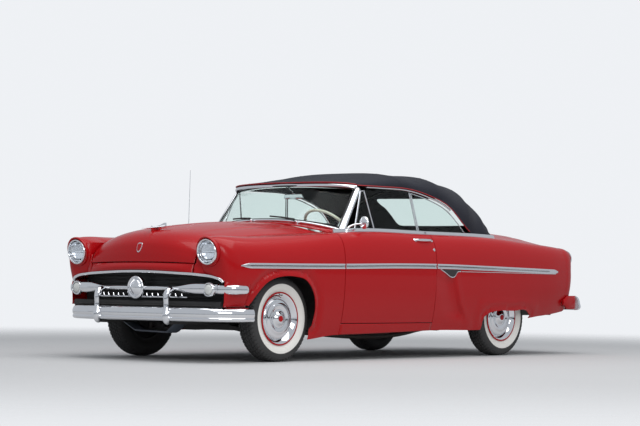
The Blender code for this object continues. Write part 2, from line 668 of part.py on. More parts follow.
def make_grille():
    front_y = grille_y
    surround_radius = 0.0125
    line = np.array([(-x, z) for x, z in GRILLE_ARCH[:0:-1]] + GRILLE_ARCH)
    slope = np.gradient(line, axis=0)
    slope /= np.linalg.norm(slope, axis=1)[:, None]
    inset = line + np.column_stack([slope[:, 1], -slope[:, 0]]) * (surround_radius + TOUCH / 2)
    arch = [(x, front_y(x) + 0.022 + 0.30 * max(abs(x) - 0.80, 0.0), z) for x, z in inset if z > 0.605]
    tube("grille_surround", arch, surround_radius, CHROME)

    # Floating bar: x, height, depth
    bar = [(0.0, 0.034, 0.030), (0.20, 0.034, 0.030), (0.42, 0.040, 0.034), (0.52, 0.070, 0.050),
           (0.66, 0.088, 0.064), (0.80, 0.080, 0.060)]
    full = [(-x, h, d) for x, h, d in bar[:0:-1]] + bar
    loops = []
    for x, height, depth in full:
        y = front_y(x) + 0.040
        loops.append([(x, y + depth / 2 * math.cos(a) - 0.010, 0.562 + height / 2 * math.sin(a))
                      for a in np.linspace(0, 2 * math.pi, 8, endpoint=False)])
    floating = loft("grille_bar", loops, CHROME)
    bullet = turned("bullet", [(-0.110, 0.0), (-0.104, 0.030), (-0.085, 0.060), (-0.062, 0.078), (-0.056, 0.090),
                               (-0.030, 0.090), (0.020, 0.060), (0.020, 0.0)],
                    24, None, (0.0, front_y(0) + 0.060, 0.566), (0, 1, 0))
    pods = []
    wings = []
    for side, word in ((1, "left"), (-1, "right")):
        pods.append(turned(f"pod_{word}", [(-0.052, 0.0), (-0.045, 0.040), (-0.030, 0.050), (-0.010, 0.056),
                                           (0.010, 0.056), (0.050, 0.030), (0.050, 0.0)],
                           20, None, (side * 0.735, front_y(0.735) + 0.030, 0.556), (0, 1, 0)))
        # Wing round the corner: x, y, heading in degrees, height, depth
        rows = [(0.765, front_y(0.765) + 0.036, 12, 0.074, 0.046), (0.855, front_y(0.855) + 0.048, 35, 0.072, 0.046),
                (0.903, -2.290, 65, 0.066, 0.034), (0.909, -2.235, 84, 0.048, 0.024), (0.904, -2.180, 92, 0.014, 0.010)]
        wing = []
        for x, y, heading, height, depth in rows:
            out_x, out_y = math.sin(math.radians(heading)), -math.cos(math.radians(heading))
            wing.append([(side * (x + out_x * depth / 2 * math.cos(a)), y + out_y * depth / 2 * math.cos(a),
                          0.558 + height / 2 * math.sin(a))
                         for a in np.linspace(0, 2 * math.pi, 10, endpoint=False)])
        wings.append(loft(f"wing_{word}", wing, None))
    join(floating, [bullet] + pods + wings)

    # Lower bar with its row of teeth
    low = [(x, front_y(x) + 0.045) for x in np.linspace(-0.86, 0.86, 13)]
    lower_bar = loft("grille_teeth", [[(x, y - 0.014, 0.437), (x, y - 0.020, 0.452), (x, y - 0.010, 0.468),
                                       (x, y + 0.014, 0.464), (x, y + 0.014, 0.437)] for x, y in low], CHROME)
    teeth = []
    for number in range(-7, 8):
        if number == 0:
            continue
        x = 0.085 * number + math.copysign(0.030, number)
        y = front_y(x) + 0.040
        teeth.append(block(f"tooth_{number + 8}", (x - 0.009, x + 0.009), (y - 0.010, y + 0.018),
                           (0.455, min(0.530, 0.562 - np.interp(abs(x) + 0.009, [row[0] for row in bar], [row[1] for row in bar]) / 2
                                       - TOUCH))))
    join(lower_bar, teeth)

    gravel = []
    for x in np.linspace(-0.740, 0.740, 11):
        y = front_y(x) + 0.045
        gravel.append([(x, y - 0.018, 0.437 - TOUCH), (x, y - 0.018, 0.430), (x, y + 0.060, 0.410), (x, y + 0.070, 0.416),
                       (x, y + 0.012, 0.437 - TOUCH)])
    loft("gravel_pan", gravel, RED)


def make_lamps():
    for side, word in ((1, "left"), (-1, "right")):
        centre = Vector((side * HEADLAMP.x, HEADLAMP.y, HEADLAMP.z))
        turned(f"headlamp_{word}", [(-0.056, 0.0), (-0.050, 0.045), (-0.034, 0.076), (-0.028, 0.090),
                                    (-0.032, 0.100), (-0.020, 0.110), (-0.004, HEADLAMP_RADIUS),
                                    (-2 * TOUCH, 0.111), (-2 * TOUCH, 0.088), (0.050, 0.066), (0.080, 0.0)],
               20, CHROME, centre, (0, 1, HEADLAMP_LEAN))
        tail = Vector((side * TAIL_LAMP.x, TAIL_LAMP.y, TAIL_LAMP.z))
        turned(f"tail_lamp_{word}", [(-0.060, 0.0), (-0.060, 0.054), (3 * TOUCH, 0.054), (3 * TOUCH, 0.076),
                                     (0.012, TAIL_LAMP_RADIUS), (0.024, 0.066), (0.040, 0.050), (0.056, 0.0)],
               18, LENS_RED, tail, (0, 1, 0))


def bumper_path(half, count):
    """Plan of a bumper from the middle to one end: x, y and heading come from a table of places."""
    table = np.array([(s, x, y) for s, x, y in half])
    return [tuple(through(table, s)) for s in np.linspace(0, table[-1, 0], count)]


def bumper(name, half, section, count=11):
    right = bumper_path(half, count)
    path = [(-x, y) for x, y in right[:0:-1]] + right
    loops = []
    for i, (x, y) in enumerate(path):
        before = Vector(path[max(i - 1, 0)])
        after = Vector(path[min(i + 1, len(path) - 1)])
        along = (after - before).normalized()
        outward = Vector((along.y, -along.x)) if half[0][2] < 0 else Vector((-along.y, along.x))
        loops.append([(x + outward.x * d, y + outward.y * d, z) for d, z in section])
    return loft(name, loops, CHROME)


def make_bumpers():
    # Distance along the half, x, y
    front = [(0.0, 0.0, -2.500), (0.35, 0.350, -2.494), (0.60, 0.598, -2.462), (0.79, 0.772, -2.392),
             (0.92, 0.862, -2.300), (1.03, 0.900, -2.200), (1.15, 0.905, -2.085)]
    front_section = [(-0.030, 0.312), (0.004, 0.316), (0.016, 0.340), (0.012, 0.356), (0.010, 0.392),
                     (-0.008, 0.418), (-0.030, 0.422)]
    made = bumper("front_bumper", front, front_section)
    guards = []
    for side, word in ((1, "left"), (-1, "right")):
        guards.append(tube(f"guard_{word}", [(side * 0.385, -2.478, 0.310), (side * 0.385, -2.502, 0.318),
                                             (side * 0.385, -2.514, 0.370), (side * 0.385, -2.515, 0.450),
                                             (side * 0.385, -2.506, 0.505), (side * 0.385, -2.474, 0.532),
                                             (side * 0.385, -2.452, 0.528)], 0.026))
    join(made, guards)

    rear = [(0.0, 0.0, 2.470), (0.35, 0.350, 2.464), (0.60, 0.598, 2.440), (0.76, 0.750, 2.400),
            (0.87, 0.845, 2.352), (0.95, 0.893, 2.290), (1.00, 0.908, 2.245)]
    rear_section = [(-0.032, 0.402), (0.010, 0.405), (0.026, 0.430), (0.018, 0.462), (0.004, 0.505),
                    (-0.014, 0.528), (-0.036, 0.532)]
    made = bumper("rear_bumper", rear, rear_section)
    guards = []
    for side, word in ((1, "left"), (-1, "right")):
        guards.append(tube(f"rear_guard_{word}", [(side * 0.420, 2.430, 0.405), (side * 0.420, 2.462, 0.420),
                                                  (side * 0.420, 2.472, 0.480), (side * 0.420, 2.466, 0.560),
                                                  (side * 0.420, 2.440, 0.590)], 0.024))
    join(made, guards)

    # Body-coloured pan between the tail and the bumper
    loops = []
    for x in np.linspace(-0.800, 0.800, 13):
        share = abs(x) / 0.800
        seat = tail_y(min(abs(x), 0.600)) - 0.006 if abs(x) < LID_EDGE_X else 2.262
        reach = 2.425 - 0.095 * share**3
        loops.append([(x, seat, 0.470), (x, reach, 0.482), (x, reach, 0.490), (x, seat, 0.480)])
    join(bpy.data.objects["tail_panel"], [loft("rear_gravel_pan", loops, None)])


def make_windshield():
    across = np.array([-0.712, *COWL_COLUMNS, 0.712]) / 0.712
    foot = [screen_point(s, 0.0) for s in across]
    head = [screen_point(s, 1.0) for s in across[::-1]]
    tube("windshield_frame", foot + head, FRAME_RADIUS, CHROME, closed=True)

    def glazing(u, v):
        s = (2 * u - 1) * 0.981
        return screen_point(s, 0.0295 + 0.9410 * v)
    sheet_grid("windshield_glass", glazing, 12, 3, GLAZING, thickness=GLASS, inside=(0, -0.3, 1.2))


def make_soft_top():
    along, across = 18, 18
    cloth = 0.005
    sheet_grid("soft_top", top_point, along, across, CLOTH, thickness=cloth, inside=(0, 0.4, 1.1))
    cut(bpy.data.objects["soft_top"],
        [outline_solid("rear_window_cut", [(-0.420, 1.205), (-0.390, 1.190), (0.390, 1.190), (0.420, 1.205),
                                           (0.380, 1.370), (0.350, 1.385), (-0.350, 1.385), (-0.380, 1.370)],
                       "Y", 1.18, 1.75)])

    def window(u, v):
        step = 0.001
        at_u, at_v = (13 + 4 * u) / along, (4 + 10 * v) / across
        here = Vector(top_point(at_u, at_v))
        slope_u = Vector(top_point(at_u + step, at_v)) - here
        slope_v = Vector(top_point(at_u, at_v + step)) - here
        inward = slope_u.cross(slope_v).normalized()
        if inward.dot(Vector((0, 0.4, 1.1)) - here) < 0:
            inward = -inward
        return here + inward * (cloth + 0.0014)
    sheet_grid("rear_window", window, 4, 10, GLAZING, thickness=0.003, inside=(0, 0.4, 1.1))


def make_interior():
    block("dashboard", (-0.690, 0.690), (-1.044 + TOUCH, -0.800), (0.800, 1.010), RED, bevel=0.030)
    block("front_seat_cushion", (-0.640, 0.640), (-0.420, 0.060), (0.470, 0.680), VINYL, bevel=0.050)
    back = [(0.010, 0.600), (0.150, 0.560), (0.265, 0.930), (0.250, 0.985), (0.190, 0.990), (0.150, 0.950),
            (0.060, 0.700)]
    riser = block("seat_riser", (-0.560, 0.560), (-0.370, 0.030), (FLOOR_Z + 0.012 + TOUCH, 0.500))
    join(bpy.data.objects["front_seat_cushion"], [outline_solid("front_back", back, "X", -0.640, 0.640), riser])
    bpy.data.objects["front_seat_cushion"].name = "front_seat"
    pan_z, step_z = FLOOR_Z + 0.068 + TOUCH, 0.557 + TOUCH
    cushion = [(0.545, pan_z), (0.775, pan_z), (0.775, step_z), (0.985, step_z), (1.080, step_z), (1.150, 0.900),
               (1.130, 0.945), (1.070, 0.950), (1.010, 0.900), (0.930, 0.640), (0.620, 0.660), (0.545, 0.620)]
    seat_half = WHEELHOUSE_X - 0.015
    outline_solid("rear_seat", cushion, "X", -seat_half, seat_half, VINYL)

    wheel_centre = Vector((0.400, -0.665, 1.075))
    column_foot = Vector((0.400, -1.020, 0.700))
    along = (wheel_centre - column_foot).normalized()
    column = tube("steering_column", [column_foot + along * 0.02, wheel_centre - along * 0.045], 0.024)
    join(bpy.data.objects["dashboard"], [column])
    rim = []
    for step in range(8):
        turn = 2 * math.pi * step / 8
        rim.append((0.205 + 0.013 * math.cos(turn), 0.013 * math.sin(turn)))
    ring = turned("steering_wheel", [(h, r) for r, h in rim], 22, IVORY, wheel_centre, along)
    hub = turned("steering_hub", [(-0.044, 0.0), (-0.044, 0.030), (0.000, 0.044), (0.022, 0.036), (0.028, 0.0)],
                 16, None, wheel_centre, along)
    spokes = []
    level = Vector((1, 0, 0)).cross(along).normalized()
    for number, turn in enumerate((0.10, math.pi - 0.10, 1.5 * math.pi)):
        arm = Vector((1, 0, 0)) * math.cos(turn) + level * math.sin(turn)
        spokes.append(tube(f"spoke_{number}", [wheel_centre + arm * 0.030, wheel_centre + arm * 0.204], 0.007))
    join(ring, [hub] + spokes)


def make_floor():
    # Front floor with the firewall, then the rear floor stepped up over the axle: y, z of the top face
    front = [(-1.056, 1.005), (-1.044, 1.005), (-1.044, 0.620), (-0.900, FLOOR_Z + 0.012), (0.500, FLOOR_Z + 0.012),
             (0.520, FLOOR_Z + 0.068), (0.800, FLOOR_Z + 0.068), (0.800, FLOOR_Z + 0.056), (0.530, FLOOR_Z + 0.056),
             (0.510, FLOOR_Z), (-0.910, FLOOR_Z), (-1.056, 0.615)]
    floor = outline_solid("floor_pan", front, "X", 0.008 - DOOR_INNER_X, DOOR_INNER_X - 0.008, BLACK)
    pan_half = WHEELHOUSE_X - 0.006
    rear = block("trunk_floor", (-pan_half, pan_half), (0.780, 2.2435), (0.545, 0.557))
    step = block("heel_board", (-pan_half, pan_half), (0.780, 0.792), (FLOOR_Z + 0.056, 0.557))
    walls = []
    for side, word in ((1, "left"), (-1, "right")):
        across = sorted((side * (WHEELHOUSE_X - 0.012), side * WHEELHOUSE_X))
        walls.append(block(f"side_wall_{word}", across, (0.300, 1.760), (FLOOR_Z + 0.004, 0.980)))
    sills = [bpy.data.objects[f"rocker_{word}"] for word in ("left", "right")]
    pillars = [block(f"hinge_pillar_{word}", sorted((side * 0.720, side * 0.815)), (-1.056, DOOR_FRONT_Y - TOUCH), (0.440, 0.980))
               for side, word in ((1, "left"), (-1, "right"))]
    join(floor, [rear, step] + walls + sills + pillars)

    bay = block("engine_bay", (-0.470, 0.470), (-2.260, -2.252), (0.400, 0.780), BLACK)
    aprons = [block(f"apron_{word}", tuple(sorted((side * 0.462, side * 0.470))), (-2.256, -1.056 - TOUCH), (0.500, 0.880))
              for side, word in ((1, "left"), (-1, "right"))]
    join(bay, aprons + [block("radiator", (-0.310, 0.310), (-2.254, -2.190), (0.440, 0.740))])
    block("engine_block", (-0.260, 0.260), (-2.050, -1.180), (0.360, 0.860), CAST, bevel=0.040)


def make_chassis():
    # Rails: y, x, z
    rail = [(-2.4597, 0.370, 0.340), (-1.250, 0.370, 0.330), (-0.950, RAIL_X, 0.275),
            (REAR_AXLE_Y - 0.554, RAIL_X, 0.275), (REAR_AXLE_Y - 0.294, RAIL_X, 0.440),
            (REAR_AXLE_Y + 0.266, RAIL_X, 0.440), (REAR_AXLE_Y + 0.506, RAIL_X - 0.020, 0.400),
            (2.4198, RAIL_X - 0.030, 0.400)]
    half_x, half_z = RAIL_HALF_X, RAIL_HALF_Z
    rails = []
    for side in (1, -1):
        loops = [[(side * x + a * half_x, y, z + b * half_z) for a, b in ((1, 1), (1, -1), (-1, -1), (-1, 1))]
                 for y, x, z in rail]
        rails.append(loft("chassis_frame" if side > 0 else "rail_right", loops, BLACK if side > 0 else None,
                          smooth=False))
    members = [block(f"member_{number}", (-reach, reach), (y - 0.040, y + 0.040), (z - 0.030, z + 0.030))
               for number, (y, z, reach) in enumerate([(-2.200, 0.335, 0.370), (-0.800, 0.262, RAIL_X),
                                                       (0.550, 0.262, RAIL_X), (1.900, 0.420, RAIL_X - 0.020)])]
    cradle = block("front_cradle", (-0.370, 0.370), (-1.740, -1.620), (0.235, 0.360 - TOUCH))
    arms = []
    for side, word in ((1, "left"), (-1, "right")):
        near, boss, far = 0.360, KINGPIN_X - 0.036, KINGPIN_X + 0.030
        lower = loft(f"lower_arm_{word}", [[(side * near, FRONT_AXLE_Y + a * 0.110, 0.262 + b * 0.016)
                                               for a, b in ((1, 1), (1, -1), (-1, -1), (-1, 1))],
                                              [(side * boss, FRONT_AXLE_Y + a * 0.030, 0.216 + b * 0.014)
                                               for a, b in ((1, 1), (1, -1), (-1, -1), (-1, 1))],
                                              [(side * far, FRONT_AXLE_Y + a * 0.030, 0.216 + b * 0.014)
                                               for a, b in ((1, 1), (1, -1), (-1, -1), (-1, 1))]],
                     None, smooth=False)
        upper = loft(f"upper_arm_{word}", [[(side * near, FRONT_AXLE_Y + a * 0.080, 0.372 + b * 0.010)
                                            for a, b in ((1, 1), (1, -1), (-1, -1), (-1, 1))],
                                           [(side * boss, FRONT_AXLE_Y + a * 0.026, 0.470 + b * 0.012)
                                            for a, b in ((1, 1), (1, -1), (-1, -1), (-1, 1))],
                                           [(side * far, FRONT_AXLE_Y + a * 0.026, 0.470 + b * 0.012)
                                            for a, b in ((1, 1), (1, -1), (-1, -1), (-1, 1))]], None, smooth=False)
        spring = turned(f"spring_{word}", [(0.0, 0.0), (0.0, 0.050), (0.150, 0.050), (0.150, 0.0)], 14, None,
                        (side * (KINGPIN_X - 0.120), FRONT_AXLE_Y, 0.245), (0, 0, 1))
        arms += [lower, upper, spring]
        knuckle = turned(f"knuckle_{word}", [(0.2303, 0.0), (0.2303, 0.026), (0.260, 0.022), (0.420, 0.022),
                                             (0.4577, 0.026), (0.4577, 0.0)], 14, CAST,
                         (side * KINGPIN_X, FRONT_AXLE_Y, 0.0), (0, 0, 1),
                         origin=(side * KINGPIN_X, FRONT_AXLE_Y, AXLE_Z))
        stub_end = FRONT_TRACK / 2 - 0.014 - TOUCH
        join(knuckle, [turned(f"stub_{word}", [(0.0, 0.0), (0.0, 0.020), (stub_end - KINGPIN_X, 0.020),
                                               (stub_end - KINGPIN_X, 0.0)], 14, None,
                              (side * KINGPIN_X, FRONT_AXLE_Y, AXLE_Z), (side, 0, 0))])

    # Rubber mounts under the body and brackets under the gravel pan: name, x, y, half x, half y, top z
    seats = []
    for name, x, y, half_x, half_y, low, top in (("mount_front", RAIL_X, -0.600, 0.025, 0.030, 0.320, FLOOR_Z),
                                                 ("mount_middle", RAIL_X, 0.300, 0.025, 0.030, 0.320, FLOOR_Z),
                                                 ("mount_rear", RAIL_X - 0.016, 1.720, 0.018, 0.030, 0.430, 0.545),
                                                 ("pan_bracket", 0.370, -2.360, 0.020, 0.015, 0.380, 0.410)):
        for side in (1, -1):
            across = sorted((side * (x - half_x), side * (x + half_x)))
            seats.append(block(f"{name}_{side}", across, (y - half_y, y + half_y), (low, top - TOUCH)))
    join(rails[0], [rails[1]] + members + [cradle] + arms + seats)

    rear_reach = REAR_TRACK / 2 - 0.014 - TOUCH
    axle = turned("rear_axle", [(-rear_reach, 0.0), (-rear_reach, 0.030), (-0.300, 0.036), (-0.140, 0.060),
                                (-0.070, 0.135), (0.070, 0.135), (0.140, 0.060), (0.300, 0.036),
                                (rear_reach, 0.030), (rear_reach, 0.0)], 18, BLACK,
                  (0.0, REAR_AXLE_Y, AXLE_Z), (1, 0, 0))
    springs = []
    for side, word in ((1, "left"), (-1, "right")):
        leaf = [(-0.514, 0.226), (-0.294, 0.276), (0.0, 0.298), (0.306, 0.312), (0.626, 0.330),
                (0.626, 0.3477), (0.306, 0.340), (0.0, 0.334), (-0.294, 0.308), (-0.514, 0.248)]
        leaf = [(REAR_AXLE_Y + y, z) for y, z in leaf]
        springs.append(outline_solid(f"leaf_{word}", leaf, "X", side * (RAIL_X - 0.030), side * (RAIL_X + 0.030)))
    shaft = tube("driveshaft", [(0, -1.168, 0.430), (0, -0.950, 0.362), (0, -0.700, 0.350),
                                (0, REAR_AXLE_Y - 0.120, AXLE_Z)], 0.034)
    join(axle, springs + [shaft])

    exhaust = tube("exhaust", [(0.300, -1.300, 0.420), (0.300, -1.220, 0.240), (0.300, -0.900, 0.2135),
                               (0.300, 0.620, 0.2135), (0.300, 0.800, 0.250), (0.300, 0.980, 0.455),
                               (0.300, 1.500, 0.455), (RAIL_X - 0.100, 1.720, 0.280), (RAIL_X - 0.100, 2.380, 0.260)], 0.021, CAST)
    muffler = turned("muffler", [(0.0, 0.0), (0.0, 0.040), (0.030, 0.056), (0.520, 0.056), (0.550, 0.040),
                                 (0.550, 0.0)], 14, None, (0.300, -0.300, 0.232), (0, 1, 0))
    join(exhaust, [muffler])
    block("fuel_tank", (-0.330, 0.330), (1.960, 2.210), (0.360, 0.545 - TOUCH), BLACK, bevel=0.030)


def make_wheels():
    half = TYRE_WIDTH / 2
    bead = RIM_RADIUS + TOUCH
    tyre = [(-0.060, bead), (-0.064, 0.213), (-half, 0.270), (-0.076, 0.312), (-0.060, 0.331),
            (0.0, TYRE_RADIUS), (0.060, 0.331), (0.076, 0.312), (half, 0.270), (0.064, 0.213), (0.060, bead)]
    rim = [(-0.014, 0.0), (-0.014, 0.055), (-0.050, 0.060), (-0.058, 0.140), (-0.006, 0.142),
           (-0.030, 0.184), (-0.068, 0.190), (-0.0665, 0.208), (-0.060, RIM_RADIUS),
           (0.060, RIM_RADIUS), (0.0665, 0.209), (0.074, 0.206), (0.058, 0.172),
           (0.040, 0.142), (0.066, 0.122), (0.072, 0.092), (0.078, 0.050), (0.096, 0.0)]
    for place, track, y in (("front", FRONT_TRACK, FRONT_AXLE_Y), ("rear", REAR_TRACK, REAR_AXLE_Y)):
        for side, word in ((1, "left"), (-1, "right")):
            centre = (side * track / 2, y, AXLE_Z)
            turned(f"tyre_{place}_{word}", tyre, 24, RUBBER, centre, (side, 0, 0))
            turned(f"wheel_{place}_{word}", rim, 24, CHROME, centre, (side, 0, 0))


def make_fittings():
    ornament = loft("hood_ornament", [[(a * w, y, z + b * h) for a, b in ((1, 0), (0, 1), (-1, 0), (0, -0.6))]
                                      for y, z, w, h in ((-2.400, 1.010, 0.004, 0.004), (-2.330, 1.020, 0.016, 0.014),
                                                         (-2.220, 1.046, 0.018, 0.016), (-2.140, 1.062, 0.006, 0.018))],
                    None)
    stand = block("ornament_foot", (-0.008, 0.008), (-2.290, -2.200), (1.0215, 1.040))
    wings = loft("ornament_wings", [[(x, -2.290 + k, z), (x, -2.235 + k, z + 0.002), (x, -2.235 + k, z + 0.008),
                                     (x, -2.290 + k, z + 0.006)]
                                    for x, z, k in ((-0.115, 1.052, 0.075), (0.0, 1.034, 0.0), (0.115, 1.052, 0.075))],
                 None)
    join(bpy.data.objects["hood"], [ornament, stand, wings])

    mirror = turned("door_mirror", [(-0.018, 0.0), (-0.014, 0.030), (-0.004, 0.050), (0.006, 0.052), (0.006, 0.0)],
                    18, None, (0.860, -0.742, 1.112), (0.15, 1.0, 0.0))
    arm = tube("mirror_arm", [(0.792, -0.862, 1.030), (0.795, -0.858, 1.062), (0.861, -0.746, 1.104)], 0.007)
    base = block("mirror_base", (0.774, 0.806), (-0.890, -0.836), (0.990, 1.0460))
    join(base, [arm, mirror])
    join(bpy.data.objects["door_left"], [base])

    mast = tube("antenna", [(-0.735, -1.300, 1.004), (-0.735, -1.300, 1.080), (-0.735, -1.300, 1.560)], 0.0025)
    foot = turned("antenna_foot", [(0.0, 0.0), (0.0, 0.018), (0.012, 0.012), (0.030, 0.006), (0.030, 0.0)], 14, None,
                  (-0.735, -1.300, 0.9960), (0, 0, 1))
    join(bpy.data.objects["fender_right"], [foot, mast])

    post = tube("rear_view_mirror", [(0, -0.747, 1.432), (0, -0.650, 1.375), (0, -0.640, 1.350)], 0.006)
    head = block("mirror_head", (-0.110, 0.110), (-0.650, -0.632), (1.320, 1.368), bevel=0.006)
    join(bpy.data.objects["windshield_frame"], [post, head])


# Moving groups: name, joint position in the body's own drawing, pieces
MOVING = [
    ("hood_axis", (0.0, HOOD[0, 1] + 0.004, 1.116), ["hood"]),
    ("lid_axis", (0.0, LID_FRONT_Y - 0.002, 1.112), ["deck_lid"]),
    ("door_left_axis", (DOOR_SWING_X, DOOR_FRONT_Y, 0.650), ["door_left", "door_glass_left"]),
    ("door_right_axis", (-DOOR_SWING_X, DOOR_FRONT_Y, 0.650), ["door_right", "door_glass_right"]),
]


def hang_on_axes():
    """Parent each moving group to an empty on its axis, and all of it to the car's origin."""
    origin = bpy.data.objects.new("car_origin", None)
    PARTS.objects.link(origin)
    for name, place, pieces in MOVING:
        pivot = bpy.data.objects.new(name, None)
        PARTS.objects.link(pivot)
        pivot.location = place
        pivot.parent = origin
        for piece in pieces:
            hung = bpy.data.objects[piece]
            hung.parent = pivot
            hung.matrix_parent_inverse = Matrix.Translation(-Vector(place))
    for thing in list(PARTS.objects) + list(TOOLS.objects):
        if thing.parent is None and thing is not origin:
            thing.parent = origin
    origin.location = (0.0, -(FRONT_END_Y + REAR_END_Y) / 2, 0.0)


def main():
    clear_scene()
    for group in (PARTS, TOOLS):
        bpy.context.scene.collection.children.link(group)
    make_fenders()
    make_quarters()
    make_doors()
    make_side_glass()
    make_front_panels()
    make_rear_panels()
    make_grille()
    make_lamps()
    make_bumpers()
    make_windshield()
    make_soft_top()
    make_interior()
    make_floor()
    make_chassis()
    make_wheels()
    make_fittings()
    hang_on_axes()


main()
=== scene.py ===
# %% [markdown]
# # A 1950s convertible, dressed over its frame
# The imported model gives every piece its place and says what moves. This lesson lays fine surfaces
# over it, one group at a time: body skins, chrome, glass, the soft top, wheels and the cabin.
# Nearly every surface is worked out with numpy as a grid of points, because a car body is a set of
# smooth curves carried along its length, and a formula keeps two neighbours on one line.

# %% Load the frame
import math

import bmesh
import bpy
import numpy as np
from mathutils import Matrix, Vector


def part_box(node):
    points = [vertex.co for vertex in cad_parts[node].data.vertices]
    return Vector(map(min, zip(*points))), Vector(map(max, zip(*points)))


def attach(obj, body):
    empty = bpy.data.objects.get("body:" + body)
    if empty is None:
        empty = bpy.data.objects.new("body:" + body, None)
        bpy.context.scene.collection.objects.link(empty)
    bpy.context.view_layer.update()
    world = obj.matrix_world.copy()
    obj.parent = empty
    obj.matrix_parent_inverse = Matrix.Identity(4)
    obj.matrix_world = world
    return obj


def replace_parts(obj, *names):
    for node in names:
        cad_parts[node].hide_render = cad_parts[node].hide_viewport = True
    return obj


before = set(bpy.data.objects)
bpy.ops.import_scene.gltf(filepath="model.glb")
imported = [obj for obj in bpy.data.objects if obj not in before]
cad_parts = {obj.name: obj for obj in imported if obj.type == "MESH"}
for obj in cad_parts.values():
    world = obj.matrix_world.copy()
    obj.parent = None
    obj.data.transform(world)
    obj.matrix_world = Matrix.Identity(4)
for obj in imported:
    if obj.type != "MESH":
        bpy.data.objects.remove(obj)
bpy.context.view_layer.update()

FRONT_AXLE_Y = -1.68      # on the body's drawing
REAR_AXLE_Y = 1.254
FRONT_TRACK, REAR_TRACK = 1.473, 1.422
low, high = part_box("tyre_front_left")
SHIFT = (low.y + high.y) / 2 - FRONT_AXLE_Y
AXLE_Z = (low.z + high.z) / 2
TYRE_RADIUS = (high.z - low.z) / 2
print("drawing to frame", round(SHIFT, 4), "axle height", round(AXLE_Z, 3))

# %% [markdown]
# ## Tools for surfaces
# A surface is an array of points, rows by columns. `skin` turns such an array into a mesh in one
# step: the corners of every quad come from index arithmetic on the whole grid. A closed form, such as
# a bar or a ring, is the same grid with its columns wrapped round.

# %% Curves through tables
def smooth(table, at):
    """A cubic curve through the rows of a table. The first column is the place, the rest
    are values; the slope at a row is the central difference of its neighbours."""
    table = np.asarray(table, float)
    at = np.asarray(at, float)
    places, values = table[:, 0], table[:, 1:]
    slopes = np.gradient(values, places, axis=0)
    i = np.clip(np.searchsorted(places, at) - 1, 0, len(places) - 2)
    step = (places[i + 1] - places[i])[..., None]
    t = np.clip((at - places[i])[..., None] / step, 0.0, 1.0)
    return ((2*t**3 - 3*t**2 + 1) * values[i] + (t**3 - 2*t**2 + t) * step * slopes[i]
        + (3*t**2 - 2*t**3) * values[i + 1] + (t**3 - t**2) * step * slopes[i + 1])


def ease(edge_a, edge_b, x):
    """0 before edge_a, 1 after edge_b, and the smooth step 3t2 - 2t3 between them."""
    t = np.clip((x - edge_a) / (edge_b - edge_a), 0.0, 1.0)
    return t * t * (3 - 2 * t)


def unit(v):
    return v / np.maximum(np.linalg.norm(v, axis=-1, keepdims=True), 1e-9)


# %% From a grid of points to a mesh
def skin(name, grid, finish, body, inside=None, wall=0.0, wrap=False, caps=False, keep=None, sharp=40,
        drawn=True):
    """A mesh over a grid of points. The faces look away from the point called inside; with wrap the
    columns close into loops, and caps shut the first and the last loop."""
    grid = np.array(grid, float)
    if drawn:
        grid[..., 1] += SHIFT
    rows, cols = grid.shape[:2]
    index = np.arange(rows * cols).reshape(rows, cols)
    if wrap:
        index = np.concatenate([index, index[:, :1]], axis=1)
    quads = np.stack([index[:-1, :-1], index[1:, :-1], index[1:, 1:], index[:-1, 1:]], axis=-1)
    if keep is not None:
        quads = quads[keep]
    quads = quads.reshape(-1, 4)
    mesh = bpy.data.meshes.new(name)
    faces = quads.tolist()
    if caps:
        faces += [index[0, :cols].tolist(), index[-1, :cols].tolist()]
    mesh.from_pydata(grid.reshape(-1, 3).tolist(), [], faces)
    bm = bmesh.new()
    bm.from_mesh(mesh)
    bmesh.ops.remove_doubles(bm, verts=bm.verts, dist=.00002)
    loose = [v for v in bm.verts if not v.link_faces]
    bmesh.ops.delete(bm, geom=loose, context="VERTS")
    if inside is None:
        bmesh.ops.recalc_face_normals(bm, faces=bm.faces)
    else:
        centre = Vector(inside)
        bm.normal_update()
        lean = sum(f.normal.dot(f.calc_center_median() - centre) * f.calc_area() for f in bm.faces)
        if lean < 0:
            bmesh.ops.reverse_faces(bm, faces=bm.faces)
    bm.to_mesh(mesh)
    bm.free()
    return dress(name, mesh, finish, body, wall, sharp)


def dress(name, mesh, finish, body, wall=0.0, sharp=40):
    """Make the object, give it its finish, its wall and the body it rides on."""
    piece = bpy.data.objects.new(name, mesh)
    bpy.context.scene.collection.objects.link(piece)
    mesh.materials.clear()
    mesh.materials.append(finish)
    mesh.shade_smooth()
    mesh.set_sharp_from_angle(angle=math.radians(sharp))
    if wall:
        shell = piece.modifiers.new("wall", "SOLIDIFY")
        shell.thickness = wall
        shell.offset = -1.0
        shell.use_even_offset = False
    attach(piece, body)
    return piece


# %% Bars, rings and turned forms
def carried(path, outward, section):
    """A section carried along a path: each loop lies across the path, its first coordinate along
    outward and its second along the cross product of the path's direction and outward."""
    path = np.asarray(path, float)
    outward = np.broadcast_to(np.asarray(outward, float), path.shape)
    along = unit(np.gradient(path, axis=0))
    out = unit(outward - along * np.sum(outward * along, axis=1, keepdims=True))
    across = np.cross(along, out)
    section = np.asarray(section, float)
    if section.ndim == 2:
        section = np.broadcast_to(section, (len(path), *section.shape))
    return path[:, None] + section[..., :1] * out[:, None] + section[..., 1:] * across[:, None]


def shrunk(outline, rows, axis=1):
    """A flat outline drawn again for each row of (size about its middle, place along the axis)."""
    middle = outline.mean(axis=0)
    return np.stack([np.insert(middle + (outline - middle) * size, axis, place, axis=1)
        for size, place in rows])


def full_turn(count):
    return np.linspace(0, 2 * np.pi, count, endpoint=False)


def circle(radius, sides, squash=1.0):
    turn = full_turn(sides)
    return np.column_stack([radius * np.cos(turn), radius * squash * np.sin(turn)])


